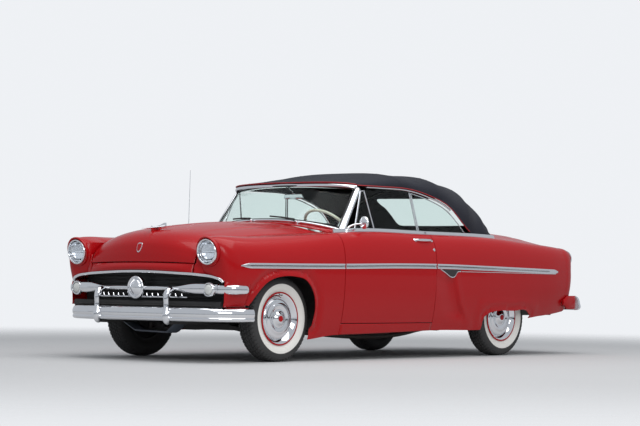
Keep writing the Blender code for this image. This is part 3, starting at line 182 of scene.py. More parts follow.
def rounded(points, bend=.25):
    """A closed outline with its corners cut off twice, which rounds them."""
    points = np.asarray(points, float)
    for _ in range(2):
        after = np.roll(points, -1, axis=0)
        points = np.stack([points + (after - points) * bend, after + (points - after) * bend], axis=1)
        points = points.reshape(-1, points.shape[-1])
    return points


def along_line(points, count):
    """Points evenly spaced along a smooth curve through the given ones."""
    points = np.asarray(points, float)
    reach = np.concatenate([[0.0], np.cumsum(np.linalg.norm(np.diff(points, axis=0), axis=1))])
    return smooth(np.column_stack([reach, points]), np.linspace(0, reach[-1], count))


def turned_grid(profile, centre, axis, steps):
    """A surface of revolution: rows follow the profile of (distance along the axis, radius)."""
    axis = unit(np.asarray(axis, float))
    helper = np.array([0.0, 0.0, 1.0]) if abs(axis[2]) < .9 else np.array([1.0, 0.0, 0.0])
    side = unit(np.cross(axis, helper))
    up = np.cross(side, axis)
    turn = full_turn(steps)
    ring = np.cos(turn)[:, None] * side + np.sin(turn)[:, None] * up
    profile = np.asarray(profile, float)
    return (np.asarray(centre, float) + profile[:, :1, None] * axis + profile[:, 1:, None]
        * ring[None]).reshape(len(profile), steps, 3)


def mirror(grid, side):
    return np.asarray(grid) * np.array([side, 1.0, 1.0])


def as_grid(x, y, z):
    """Three arrays of coordinates, stretched to one shape, as a grid of points."""
    return np.stack(np.broadcast_arrays(x, y, z), axis=-1)


def solid(name, grid, finish, body="shell", sharp=40):
    """A closed bar: its loops are the rows of the grid."""
    return skin(name, grid, finish, body, wrap=True, caps=True, sharp=sharp)


def turned(name, profile, centre, axis, steps, finish, body="shell", sharp=40):
    """A turned form about an axis through a centre."""
    return skin(name, turned_grid(profile, centre, axis, steps), finish, body, wrap=True, sharp=sharp)


SIDES = ((1, "left"), (-1, "right"))
AHEAD, BACK, ACROSS = (0, -1, 0), (0, 1, 0), (1, 0, 0)
CABIN = (0, .4, 1.1)       # a point inside the top, which its faces look away from
print("tools ready")

# %% [markdown]
# ## Finishes
# The car has few finishes, each repeated over many pieces: lacquered red steel, chrome plate,
# woven cloth, rubber, glass, black chassis paint, vinyl. A flat colour looks like plastic, so each one
# goes through a shared node group that shifts its colour and gloss with a soft noise and gives a
# height for the bump. The noise is read in object coordinates, so it is fixed to the metal.

# %% A node group for a toned surface
def new_group(name, numbers):
    """A group with a vector, two colours and some numbers going in; a colour, the roughness and the
    height come out."""
    tree = bpy.data.node_groups.new(name, "ShaderNodeTree")
    inputs = [("Vector", "Vector"), ("Colour", "Color"), ("Shade", "Color")]
    for label, kind in inputs + [(label, "Float") for label in numbers]:
        tree.interface.new_socket(label, in_out="INPUT", socket_type="NodeSocket" + kind)
    for label, kind in (("Colour", "Color"), ("Roughness", "Float"), ("Height", "Float")):
        tree.interface.new_socket(label, in_out="OUTPUT", socket_type="NodeSocket" + kind)
    return tree, tree.nodes.new("NodeGroupInput"), tree.nodes.new("NodeGroupOutput")


def toned_group():
    """Two noises: a broad one mixes the two colours and moves the gloss, a fine one gives the
    height."""
    tree, start, end = new_group("toned surface", ("Gloss", "Dull", "Broad", "Fine"))
    broad = tree.nodes.new("ShaderNodeTexNoise")
    fine = tree.nodes.new("ShaderNodeTexNoise")
    mix = tree.nodes.new("ShaderNodeMix")
    mix.data_type = "RGBA"
    gloss = tree.nodes.new("ShaderNodeMapRange")
    broad.inputs["Detail"].default_value = 3.0
    fine.inputs["Detail"].default_value = 4.0
    join = tree.links.new
    for noise, scale in ((broad, "Broad"), (fine, "Fine")):
        join(start.outputs["Vector"], noise.inputs["Vector"])
        join(start.outputs[scale], noise.inputs["Scale"])
    join(broad.outputs["Fac"], mix.inputs["Factor"])
    join(start.outputs["Colour"], mix.inputs["A"])
    join(start.outputs["Shade"], mix.inputs["B"])
    join(broad.outputs["Fac"], gloss.inputs["Value"])
    join(start.outputs["Gloss"], gloss.inputs["To Min"])
    join(start.outputs["Dull"], gloss.inputs["To Max"])
    join(mix.outputs["Result"], end.inputs["Colour"])
    join(gloss.outputs["Result"], end.inputs["Roughness"])
    join(fine.outputs["Fac"], end.inputs["Height"])
    return tree


def weave_group():
    """Crossed threads: two bands at right angles are multiplied into a height, and a soft noise mixes the
    two colours and moves the roughness."""
    tree, start, end = new_group("woven threads", ("Threads",))
    join = tree.links.new
    product = tree.nodes.new("ShaderNodeMath")
    product.operation = "MULTIPLY"
    for number, way in enumerate(("X", "Y")):
        wave = tree.nodes.new("ShaderNodeTexWave")
        wave.bands_direction = way
        wave.inputs["Distortion"].default_value = .8
        join(start.outputs["Vector"], wave.inputs["Vector"])
        join(start.outputs["Threads"], wave.inputs["Scale"])
        join(wave.outputs["Fac"], product.inputs[number])
    fade = tree.nodes.new("ShaderNodeTexNoise")
    fade.inputs["Scale"].default_value = 4.0
    join(start.outputs["Vector"], fade.inputs["Vector"])
    mix = tree.nodes.new("ShaderNodeMix")
    mix.data_type = "RGBA"
    join(fade.outputs["Fac"], mix.inputs["Factor"])
    join(start.outputs["Colour"], mix.inputs["A"])
    join(start.outputs["Shade"], mix.inputs["B"])
    rough = tree.nodes.new("ShaderNodeMapRange")
    rough.inputs["To Min"].default_value = .78
    rough.inputs["To Max"].default_value = .95
    join(fade.outputs["Fac"], rough.inputs["Value"])
    join(mix.outputs["Result"], end.inputs["Colour"])
    join(rough.outputs["Result"], end.inputs["Roughness"])
    join(product.outputs["Value"], end.inputs["Height"])
    return tree


TONED = toned_group()
WOVEN = weave_group()
print("node groups", TONED.name, "and", WOVEN.name)


# %% Materials from the groups
def finish(name, colour, shade, gloss=.2, dull=.3, broad=3.0, fine=120.0, bump=0.0, slot=None,
        threads=None, **sockets):
    """A Principled material fed by one of the groups; every other socket is a plain number."""
    made = bpy.data.materials.new(name)
    made.use_nodes = True
    tree = made.node_tree
    join = tree.links.new
    shader = tree.nodes["Principled BSDF"]
    place = tree.nodes.new("ShaderNodeTexCoord")
    effect = tree.nodes.new("ShaderNodeGroup")
    effect.node_tree = WOVEN if threads else TONED
    join(place.outputs["Object"], effect.inputs["Vector"])
    effect.inputs["Colour"].default_value = (*colour, 1)
    effect.inputs["Shade"].default_value = (*shade, 1)
    if threads:
        effect.inputs["Threads"].default_value = threads
    else:
        for label, value in (("Gloss", gloss), ("Dull", dull), ("Broad", broad), ("Fine", fine)):
            effect.inputs[label].default_value = value
    join(effect.outputs["Colour"], shader.inputs["Base Color"])
    join(effect.outputs["Roughness"], shader.inputs["Roughness"])
    if bump:
        relief = tree.nodes.new("ShaderNodeBump")
        relief.inputs["Distance"].default_value = bump
        relief.inputs["Strength"].default_value = .6
        join(effect.outputs["Height"], relief.inputs["Height"])
        join(relief.outputs["Normal"], shader.inputs["Normal"])
    for label, value in sockets.items():
        shader.inputs[label.replace("_", " ")].default_value = value
    return made


PAINT = finish("red lacquer", (.368, .002, .004), (.36, .002, .004), .26, .28, .6, 500, 0.0, "body_paint",
    Specular_IOR_Level=.18, Coat_Weight=.2, Coat_Roughness=.04)
CHROME = finish("chrome plate", (.83, .84, .86), (.76, .77, .8), .05, .11, 5.0, 300, .00002,
    "chrome_trim", Metallic=1.0)
CLOTH = finish("top canvas", (.013, .014, .023), (.008, .009, .015), slot="top_cloth", bump=.0006,
    threads=190.0, Specular_IOR_Level=.2, Sheen_Weight=.05, Sheen_Roughness=.5)
RUBBER = finish("tyre rubber", (.026, .026, .027), (.042, .041, .04), .62, .85, 9.0, 260, .0004, "tyre")
WHITEWALL = finish("white sidewall", (.8, .79, .75), (.71, .69, .64), .42, .6, 11.0, 200, .0002, "tyre")
BLACK = finish("chassis paint", (.02, .02, .022), (.045, .041, .037), .45, .75, 7.0, 90,
    .0004, "frame_paint")
GLAZING = finish("window glass", (.86, .93, .91), (.82, .9, .88), .01, .03, 2.0, 20, 0.0, "glass",
    Transmission_Weight=1.0, IOR=1.15)
LENS = finish("lamp glass", (.9, .93, .96), (.84, .88, .92), .03, .06, 6.0, 60, .0006, "glass",
    Transmission_Weight=.97, IOR=1.45)
AMBER = finish("parking lens", (.86, .87, .84), (.78, .79, .76), .08, .16, 6.0, 90, .0008, "glass",
    Transmission_Weight=.35)
RED_LENS = finish("red lens", (.42, .004, .006), (.3, .002, .004), .06, .14, 8.0, 90, .0006, "red_lens",
    Transmission_Weight=.25, Coat_Weight=.5)
VINYL = finish("seat vinyl", (.03, .028, .03), (.05, .046, .047), .38, .55, 12.0, 330, .0006, "seat_cover",
    Coat_Weight=.15)
RED_VINYL = finish("red vinyl", (.3, .01, .014), (.24, .008, .011), .35, .5, 12.0, 330, .0005, "seat_cover")
PIPING = finish("red piping", (.36, .01, .016), (.28, .008, .012), .45, .6, 14.0, 400, .0004, "body_paint")
SEAL = finish("rubber seal", (.016, .016, .017), (.026, .026, .026), .55, .75, 14.0, 300, .0003, "tyre")
IRON = finish("cast iron", (.085, .085, .086), (.12, .095, .078), .5, .75, 14.0, 160, .001,
    "cast", Metallic=.7)
IVORY = finish("ivory rim", (.76, .72, .61), (.7, .66, .54), .22, .34, 14.0, 260, .0001,
    "wheel_rim_plastic", Coat_Weight=.4)
CARPET = finish("dark carpet", (.024, .022, .023), (.04, .036, .036), .9, .98, 22.0, 700, .002, "seat_cover")
GRILLE_BLACK = finish("grille black", (.012, .012, .013), (.022, .022, .022), .55, .75, 14.0, 160,
    .0003, "frame_paint")
PLATE = finish("blank plate", (.55, .56, .57), (.5, .51, .53), .3, .45, 14.0, 160, .0003,
    "chrome_trim", Metallic=.3)

# %% [markdown]
# ## Camera, light and floor
# The picture was taken low and from far away, so the lens is long. The car stands on a plain pale
# floor; the world is a plain soft grey-white, with two large soft boxes that draw long highlights
# along the shoulders. Chrome shows what is round it, so a dark strip far off, seen only in
# reflections, gives it the line of a horizon.

# %% Camera from the measured angles
HEADING, PITCH, ROLL = 41.22, 1.94, .76
FOCAL_PIXELS, PIXELS_ACROSS = 2084.5, 640
CAMERA_PLACE = (11.725, -13.6635, .613)


def set_camera():
    """Heading, pitch and roll become the camera's three axes; the length of lens follows from the
    focal length in pixels, 36 mm for 640 of them."""
    yaw, pitch, roll = (math.radians(a) for a in (HEADING, PITCH, ROLL))
    look = np.array([-math.sin(yaw) * math.cos(pitch), math.cos(yaw) * math.cos(pitch), math.sin(pitch)])
    right = unit(np.cross(look, [0, 0, 1]))
    up = np.cross(right, look)
    across = math.cos(roll) * right + math.sin(roll) * up
    above = -math.sin(roll) * right + math.cos(roll) * up
    lens = bpy.data.cameras.new("lens")
    lens.sensor_width = 36.0
    lens.lens = FOCAL_PIXELS / PIXELS_ACROSS * 36
    lens.clip_end = 200
    camera = bpy.data.objects.new("camera", lens)
    bpy.context.scene.collection.objects.link(camera)
    turn = np.eye(4)
    turn[:3, 0], turn[:3, 1], turn[:3, 2] = across, above, -look
    turn[:3, 3] = CAMERA_PLACE
    camera.matrix_world = Matrix(turn.tolist())
    bpy.context.scene.camera = camera


set_camera()
bpy.context.scene.view_settings.view_transform = "Standard"


# %% World, soft boxes and floor
def set_world():
    """Plain light for the object; white for camera rays and for what glass lets through."""
    world = bpy.data.worlds.new("plain light")
    bpy.context.scene.world = world
    world.use_nodes = True
    tree = world.node_tree
    back = tree.nodes["Background"]
    back.inputs["Color"].default_value = (.8, .84, .9, 1)
    back.inputs["Strength"].default_value = .62
    pale = tree.nodes.new("ShaderNodeBackground")
    pale.inputs["Color"].default_value = (.86, .88, .91, 1)
    pale.inputs["Strength"].default_value = 1.0
    path = tree.nodes.new("ShaderNodeLightPath")
    either = tree.nodes.new("ShaderNodeMath")
    either.operation = "MAXIMUM"
    mix = tree.nodes.new("ShaderNodeMixShader")
    tree.links.new(path.outputs["Is Camera Ray"], either.inputs[0])
    tree.links.new(path.outputs["Is Transmission Ray"], either.inputs[1])
    tree.links.new(either.outputs["Value"], mix.inputs["Fac"])
    tree.links.new(back.outputs["Background"], mix.inputs[1])
    tree.links.new(pale.outputs["Background"], mix.inputs[2])
    tree.links.new(mix.outputs["Shader"], tree.nodes["World Output"].inputs["Surface"])


def soft_box(name, place, aim, size, power):
    lamp = bpy.data.lights.new(name, "AREA")
    lamp.shape = "RECTANGLE"
    lamp.size, lamp.size_y = size
    lamp.energy = power
    thing = bpy.data.objects.new(name, lamp)
    bpy.context.scene.collection.objects.link(thing)
    thing.location = place
    thing.rotation_euler = (Vector(aim) - Vector(place)).to_track_quat("-Z", "Y").to_euler()


def fade_out(card, near, far):
    """From near to far, measured from the middle, the card turns clear, so that no edge shows."""
    tree = card.data.materials[0].node_tree
    place = tree.nodes.new("ShaderNodeTexCoord")
    length = tree.nodes.new("ShaderNodeVectorMath")
    length.operation = "LENGTH"
    share = tree.nodes.new("ShaderNodeMapRange")
    share.interpolation_type = "SMOOTHSTEP"
    share.inputs["From Min"].default_value = near
    share.inputs["From Max"].default_value = far
    clear = tree.nodes.new("ShaderNodeBsdfTransparent")
    mix = tree.nodes.new("ShaderNodeMixShader")
    tree.links.new(place.outputs["Object"], length.inputs[0])
    tree.links.new(length.outputs["Value"], share.inputs["Value"])
    tree.links.new(share.outputs["Result"], mix.inputs["Fac"])
    tree.links.new(tree.nodes["Principled BSDF"].outputs["BSDF"], mix.inputs[1])
    tree.links.new(clear.outputs["BSDF"], mix.inputs[2])
    tree.links.new(mix.outputs["Shader"], tree.nodes["Material Output"].inputs["Surface"])


def staged_sheet(name, corners, colour):
    """A flat four-cornered card that is not part of the object."""
    mesh = bpy.data.meshes.new(name)
    mesh.from_pydata(corners, [], [(0, 1, 2, 3)])
    card = bpy.data.objects.new(name, mesh)
    bpy.context.scene.collection.objects.link(card)
    paper = finish(name, colour, tuple(.96 * c for c in colour), .85, .95, .4, 3.0)
    mesh.materials.append(paper)
    return card


def dark_strip(name, corners):
    """A strip far off that shows in reflections and through nothing else."""
    strip = staged_sheet(name, corners, (.05, .05, .05))
    strip.visible_camera = False
    strip.visible_diffuse = False
    strip.visible_shadow = False


set_world()
soft_box("overhead", (2.0, -1.0, 6.5), (0, 0, .6), (9.0, 7.0), 420)
soft_box("camera_side", (9.0, -7.0, 4.5), (0, 0, .6), (7.0, 3.0), 330)
floor = staged_sheet("floor", [(-60, -60, 0), (60, -60, 0), (60, 60, 0), (-60, 60, 0)], (.5, .5, .5))
fade_out(floor, near=4.0, far=11.0)
dark_strip("horizon", [(30, -60, .3), (30, 40, .3), (30, 40, 2.2), (30, -60, 2.2)])
dark_strip("horizon_front", [(-60, -34, .3), (40, -34, .3), (40, -34, 2.4), (-60, -34, 2.4)])
print("stage set")

# %% [markdown]
# ## The body's own curves
# On the real car the fenders, doors and quarters are pressed to one set of sections, so their
# surfaces run through the gaps between panels. The same table of sections is used here: half
# width, lower edge and crest at stations along the car. Below the waist the side turns under by a
# power curve, and above it the shoulder is a squared ellipse.

# %% Section table and its points
WAIST_Z, TUMBLE_UNDER, SHOULDER_POWER = .72, .065, 2.6
PANEL_GAP = .006
BODY = [(-2.3, .9, .43, .726, .968), (-2.05, .918, .43, .728, .966), (-1.68, .924, .205, .735, .982),
    (-1.07, .926, .206, .775, 1.02), (-.85, .926, .209, .785, 1.035), (.15, .926, .232, .79, 1.04),
    (1.155, .926, .255, .79, 1.028), (1.6, .922, .335, .786, 1.0), (1.93, .912, .365, .78, .98),
    (2.2, .89, .4, .775, .958)]
HOOD = np.array([(.64, -1.08, 1.028, -1.17, 1.108), (.632, -1.35, 1.01, -1.42, 1.104),
    (.622, -1.65, .99, -1.7, 1.088), (.61, -1.95, .966, -1.98, 1.062), (.598, -2.15, .946, -2.2, 1.028),
    (.585, -2.27, .905, -2.33, .99), (.578, -2.35, .85, -2.405, .925), (.574, -2.385, .8, -2.432, .85),
    (.572, -2.4, .757, -2.442, .766)])
LID = np.array([(.6, 1.632, 1.045, 1.632, 1.104), (.6, 1.85, 1.026, 1.87, 1.092),
    (.6, 2.03, .99, 2.06, 1.058), (.6, 2.15, .935, 2.2, .995), (.6, 2.205, .86, 2.285, .905),
    (.6, 2.235, .76, 2.33, .79), (.6, 2.255, .64, 2.35, .64)])
TOP = np.array([(.676, -.612, 1.424, -.75, 1.452, .667, .769), (.7, -.35, 1.424, -.35, 1.528, .667, .769),
    (.708, 0, 1.42, 0, 1.562, .667, .769), (.716, .289, 1.374, .4, 1.57, .778, .806),
    (.735, .547, 1.285, .75, 1.552, .907, .862), (.7645, .8, 1.08, 1.043, 1.518, 1.015, .938),
    (.7645, .96, 1.0455, 1.211, 1.447, 1.111, 1.08), (.755, 1.08, 1.045, 1.325, 1.352, 1.12, 1.191),
    (.7, 1.19, 1.046, 1.431, 1.207, 1.04, 1.187), (.606, 1.325, 1.048, 1.509, 1.091, .935, 1.156)])
QUARTER_EDGE = np.array([(.1, .74, 1.042), (.79, .74, 1.042), (.84, .765, 1.042), (1.1, .765, 1.041),
    (1.22, .7, 1.042), (1.34, .606, 1.046), (1.632, .606, 1.045), (1.85, .606, 1.026), (2.03, .606, .99),
    (2.12, .606, .952)])
FRONT_ARCH = [(-2.085, .08), (-2.085, .443), (-2.03, .54), (-1.965, .606), (-1.875, .648), (-1.767, .666),
    (-1.625, .664), (-1.52, .643), (-1.45, .59), (-1.405, .52), (-1.381, .414), (-1.394, .294), (-1.43, .08)]
REAR_ARCH = [(.815, .08), (.85, .345), (.918, .379), (.995, .392), (1.273, .396), (1.495, .392),
    (1.557, .353), (1.6, .08)]
GRILLE_ARCH = [(0, .704), (.15, .702), (.42, .692), (.64, .679), (.76, .664), (.825, .64), (.85, .606),
    (.856, .56), (.856, .405)]


def side_points(y, t):
    """Outside of the body at station y: t 0 is the lower edge, 0.5 the waist, 1 the crest. Under the
    waist x falls in by a power of the depth; over it x and z follow a squared ellipse."""
    y, t = np.broadcast_arrays(np.asarray(y, float), np.asarray(t, float))
    half, lower, crest_x, crest_z = np.moveaxis(smooth(BODY, y), -1, 0)
    under = np.clip(1 - 2 * t, 0, 1)
    turn = np.clip(t - .5, 0, .5) * np.pi
    over = np.clip(np.cos(turn), 0, 1) ** (2 / SHOULDER_POWER)
    up = np.clip(np.sin(turn), 0, 1) ** (2 / SHOULDER_POWER)
    x = np.where(t < .5, half - TUMBLE_UNDER * under ** 2.2, crest_x + (half - crest_x) * over)
    z = np.where(t < .5, WAIST_Z + (lower - WAIST_Z) * under, WAIST_Z + (crest_z - WAIST_Z) * up)
    return np.stack([x, y, z], axis=-1)


def side_x(y, z):
    """Half width at station y and height z: the two formulas above, solved for x."""
    half, lower, crest_x, crest_z = np.moveaxis(smooth(BODY, y), -1, 0)
    under = np.clip((WAIST_Z - z) / (WAIST_Z - lower), 0, 1)
    rise = np.clip((z - WAIST_Z) / (crest_z - WAIST_Z), 0, 1)
    above = crest_x + (half - crest_x) * (1 - rise ** SHOULDER_POWER) ** (1 / SHOULDER_POWER)
    return np.where(z < WAIST_Z, half - TUMBLE_UNDER * under ** 2.2, above)


print("half width at the door", round(float(side_x(np.array(-.4), np.array(.72))), 3))

# %% [markdown]
# ## Wheel openings and folds in the sheet
# A pressed wheel opening has a lip: the sheet swells out for a few centimetres round the cut and
# then turns in. The distance of every point to the outline of the cut is worked out at once, and
# the swelling is a function of that distance. The holes themselves are cut by Boolean after the
# sheet has its thickness, as a press would, so that their edges stay crisp.

# %% Distance, lips and cutters
def distance_to(points, line):
    """Shortest distance from each (y, z) point to a polyline, all segments at once."""
    points = np.asarray(points, float)
    line = np.asarray(line, float)
    a, b = line[:-1], line[1:]
    ab = b - a
    t = np.sum((points[..., None, :] - a) * ab, axis=-1) / np.maximum(np.sum(ab * ab, axis=-1), 1e-12)
    near = a + np.clip(t, 0, 1)[..., None] * ab
    return np.sqrt(np.min(np.sum((points[..., None, :] - near) ** 2, axis=-1), axis=-1))


def swell(grid, outline, width, height, hollow):
    """Push x outwards round an outline: a rounded bead as wide as width, and past it a shallow
    hollow that fades over as much again."""
    gap = distance_to(grid[..., 1:], outline)
    bead = height * (1 - ease(width * .55, width, gap))
    ring = hollow * ease(width * .8, width, gap) * (1 - ease(width, width * 2.6, gap))
    outer = ease(.8, .87, np.abs(grid[..., 0]))
    grid[..., 0] += np.sign(grid[..., 0]) * (bead - ring) * outer
    return grid


def cutter(outline, axis, lo, hi):
    """A flat outline carried straight along an axis, as a closed body for a Boolean."""
    outline = np.asarray(outline, float)
    ends = []
    for along in (lo, hi):
        a, b = outline.T
        c = np.full_like(a, along)
        ends.append(np.column_stack({"X": (c, a + SHIFT, b), "Y": (a, c + SHIFT, b)}[axis]))
    count = len(outline)
    index = np.arange(count)
    sides = np.stack([index, (index + 1) % count, (index + 1) % count + count, index + count], axis=-1)
    mesh = bpy.data.meshes.new("cutter")
    mesh.from_pydata(np.concatenate(ends).tolist(), [], sides.tolist() + [index.tolist(),
        (index + count).tolist()])
    bm = bmesh.new()
    bm.from_mesh(mesh)
    bmesh.ops.recalc_face_normals(bm, faces=bm.faces)
    bm.to_mesh(mesh)
    bm.free()
    thing = bpy.data.objects.new("cutter", mesh)
    bpy.context.scene.collection.objects.link(thing)
    return thing


def carve(piece, cutters, sharp=40):
    """Cut the bodies out of the piece, keep the result as its mesh, and remove the bodies."""
    for body in cutters:
        step = piece.modifiers.new("cut", "BOOLEAN")
        step.operation = "DIFFERENCE"
        step.solver = "EXACT"
        step.object = body
    graph = bpy.context.evaluated_depsgraph_get()
    graph.update()
    mesh = bpy.data.meshes.new_from_object(piece.evaluated_get(graph))
    piece.modifiers.clear()
    piece.data = mesh
    mesh.shade_smooth()
    mesh.set_sharp_from_angle(angle=math.radians(sharp))
    for body in cutters:
        bpy.data.objects.remove(body, do_unlink=True)
    return piece


print("front opening is", round(FRONT_ARCH[10][0] - FRONT_ARCH[1][0], 3), "m long")

# %% [markdown]
# ## Fenders and quarters
# Both ends of the body are the same kind of shape: a run of sections that closes into the round mouth
# of a lamp. Up to the turn the section is the body's own; past it each point of the last section
# travels on a quarter of an ellipse to its own place on the lamp's ring.

# %% Fender and quarter surfaces
HEADLAMP, HEADLAMP_RADIUS, HEADLAMP_LEAN = np.array([.726, -2.395, .845]), .113, .1
TAIL_LAMP, TAIL_LAMP_RADIUS = np.array([.79, 2.205, .868]), .078
NOSE_START_Y, TAIL_START_Y = -2.24, 2.09
DOOR_FRONT_Y, DOOR_REAR_Y = -1.038, .138
OUTER_SHARE, CREST_SHARE = 11 / 18, .5


def end_grid(y, v, stops):
    """Closed sections at stations y: up the side, over the crest, in to the edge, then back round the
    inside through the stops, by straight steps."""
    y = np.asarray(y, float)[:, None]
    v = np.asarray(v, float)[None, :]
    side = side_points(y, np.clip(v / CREST_SHARE, 0, 1))
    crest = side_points(y, np.ones_like(v))
    inner = np.concatenate([stops, side_points(y, 0.0)], axis=1)
    edge = inner[:, :1]
    over = np.clip((v - CREST_SHARE) / (OUTER_SHARE - CREST_SHARE), 0, 1)[..., None]
    top = crest * (1 - over) + edge * over
    place = np.clip((v - OUTER_SHARE) / (1 - OUTER_SHARE), 0, 1) * (inner.shape[1] - 1)
    i = np.minimum(place.astype(int), inner.shape[1] - 2)[0]
    f = (place[0] - i)[None, :, None]
    back = inner[:, i] * (1 - f) + inner[:, i + 1] * f
    v = np.broadcast_to(v, side.shape[:2])[..., None]
    return np.where(v <= CREST_SHARE, side, np.where(v <= OUTER_SHARE, top, back))


def fender_stops(y):
    order = HOOD[np.argsort(HOOD[:, 1])]
    edge = smooth(order[:, [1, 0, 2]], np.maximum(y, NOSE_START_Y))
    x = edge[:, 0] + PANEL_GAP
    rows = [(x, edge[:, 1])] + [(x + dx, np.full_like(x, z)) for dx, z in ((.004, .8), (.002, .66))]
    rows += [(np.full_like(x, a), np.full_like(x, b)) for a, b in ((.64, .5), (.76, .43))]
    return np.stack([np.stack([a, y, b], axis=-1) for a, b in rows], axis=1)


def quarter_stops(y):
    x = np.interp(y, QUARTER_EDGE[:, 0], QUARTER_EDGE[:, 1])
    z = np.interp(y, QUARTER_EDGE[:, 0], QUARTER_EDGE[:, 2])
    rows = [(x, z)] + [(np.full_like(y, a), np.full_like(y, b)) for a, b in ((.606, .8), (.606, .6),
        (.606, .45), (.74, .4))]
    return np.stack([np.stack([a, y, b], axis=-1) for a, b in rows], axis=1)


def ring_points(centre, radius, v):
    turn = np.radians(np.interp(v, [0, CREST_SHARE, OUTER_SHARE, 1], [-60, 90, 140, 300]))
    return np.column_stack([centre[0] + radius * np.cos(turn), np.full_like(turn, centre[1]),
        centre[2] + radius * np.sin(turn)])


def fender_grid(y, turn_rows, v):
    """Straight run at stations y, then the turn to the headlamp: 1 - cos of the angle moves a point
    sideways to the ring, the sine of the angle moves it forward."""
    run = end_grid(y, v, fender_stops(y))
    k = np.linspace(0, np.pi / 2, turn_rows + 1)[1:, None, None]
    start = end_grid(np.array([NOSE_START_Y]), v, fender_stops(np.array([NOSE_START_Y])))
    ring = ring_points(HEADLAMP, HEADLAMP_RADIUS - .009, v)[None]
    bent = start * np.cos(k) + ring * (1 - np.cos(k))
    lean = HEADLAMP_LEAN * (bent[..., 2] - HEADLAMP[2])
    bent[..., 1] = NOSE_START_Y + (HEADLAMP[1] - lean - NOSE_START_Y) * np.sin(k[..., 0])
    return np.concatenate([run, bent])


def quarter_grid(y, turn_rows, v):
    """As the fender, turning into the tail lamp; the lower part reaches further back."""
    run = end_grid(y, v, quarter_stops(y))
    k = np.linspace(0, np.pi / 2, turn_rows + 1)[1:, None, None]
    start = end_grid(np.array([TAIL_START_Y]), v, quarter_stops(np.array([TAIL_START_Y])))
    ring = ring_points(TAIL_LAMP, TAIL_LAMP_RADIUS - .007, v)[None]
    bent = start * np.cos(k) + ring * (1 - np.cos(k))
    reach = TAIL_LAMP[1] + .07 * np.clip((.76 - bent[..., 2]) / .33, 0, 1) - TAIL_START_Y
    bent[..., 1] = TAIL_START_Y + reach * np.sin(k[..., 0])
    return np.concatenate([run, bent])


SHEET_V = np.concatenate([np.linspace(0, .25, 21), np.linspace(.25, .5, 34)[1:],
    np.linspace(.5, OUTER_SHARE, 10)[1:], np.linspace(OUTER_SHARE, 1, 22)[1:]])
BULGE_Z = [.3, .375, .455, .56, .7]      # the fold runs back as it goes down
BULGE_Y = [.64, .545, .48, .435, .385]
BROW = [(.78, .462), (.86, .47), (1.2, .474), (1.5, .466), (1.66, .43)]


def press_quarter(grid):
    """The quarter's bulge: sheet ahead of the fold sinks towards it, so the fold stands up, and a
    brow runs over the wheel opening."""
    side = grid[..., 1:]
    outer = ease(.8, .87, np.abs(grid[..., 0])) * (1 - ease(.64, .74, grid[..., 2]))
    gap = side[..., 0] - np.interp(side[..., 1], BULGE_Z, BULGE_Y)
    sink = .019 * ease(-.006, .014, -gap) * (1 - ease(.06, .34, -gap)) * ease(.3, .4, side[..., 1])
    ridge = .003 * (1 - ease(0.0, .1, np.abs(gap)))
    brow = distance_to(side, BROW)
    under = side[..., 1] < np.interp(side[..., 0], [p[0] for p in BROW], [p[1] for p in BROW])
    fade = ease(.7, .82, side[..., 0]) * (1 - ease(1.6, 1.72, side[..., 0]))
    shelf = .006 * np.where(under, 1.0, 1 - ease(0.0, .05, brow)) * fade
    grid[..., 0] += (ridge + shelf * .8 - sink) * outer
    return grid


def make_ends():
    fender_y = np.concatenate([np.linspace(DOOR_FRONT_Y - PANEL_GAP, -1.36, 16),
        np.linspace(-1.36, -2.13, 66)[1:], np.linspace(-2.13, NOSE_START_Y, 8)[1:]])
    quarter_y = np.concatenate([np.linspace(DOOR_REAR_Y + PANEL_GAP, .36, 10), np.linspace(.36, .78, 42)[1:],
        np.linspace(.78, 1.7, 60)[1:], np.linspace(1.7, TAIL_START_Y, 20)[1:]])
    quads = SHEET_V[1:]
    for side, word in SIDES:
        grid = fender_grid(fender_y, 22, SHEET_V)
        grid = swell(grid, along_line(FRONT_ARCH[1:12], 90), .04, .005, .015)
        rows = np.arange(len(grid) - 1)[:, None]
        keep = (quads[None] <= OUTER_SHARE + 1e-6) | (rows >= len(fender_y) - 1)
        piece = skin(f"fender_skin_{word}", mirror(grid, side), PAINT, "shell", (side * .72, -1.6, .6),
            .006, keep=keep)
        mouth = [(side * x, z) for x, z in along_line(GRILLE_ARCH, 60)] + [(0.0, .405)]
        wheel = np.concatenate([[FRONT_ARCH[0]], along_line(FRONT_ARCH[1:12], 60), [FRONT_ARCH[-1]]])
        carve(piece, [cutter(wheel, "X", side * .5, side * 1.1), cutter(mouth, "Y", -2.6, -2.15)])
        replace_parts(piece, f"fender_{word}")

        grid = press_quarter(quarter_grid(quarter_y, 22, SHEET_V))
        grid = swell(grid, along_line(REAR_ARCH[1:7], 90), .024, .003, .008)
        rows = np.arange(len(grid) - 1)[:, None]
        keep = (quads[None] <= OUTER_SHARE + 1e-6) | (rows >= len(quarter_y) - 1)
        piece = skin(f"quarter_skin_{word}", mirror(grid, side), PAINT, "shell", (side * .72, 1.2, .6),
            .006, keep=keep)
        wheel = np.concatenate([[REAR_ARCH[0]], along_line(REAR_ARCH[1:7], 60), [REAR_ARCH[-1]]])
        carve(piece, [cutter(wheel, "X", side * .5, side * 1.1)])
        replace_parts(piece, f"quarter_{word}")
        print(word, "quarter faces", len(piece.data.polygons))


make_ends()

# %% [markdown]
# ## Doors
# A door is a closed box: an outer skin on the body's own section and a flatter inner panel. The
# section is drawn once per station and carried from the front gap to the rear one.

# %% Door bodies
DOOR_BOTTOM_Z, CABIN_EDGE_X, DOOR_INNER_X, BELT_Z = .3, .765, .745, 1.04


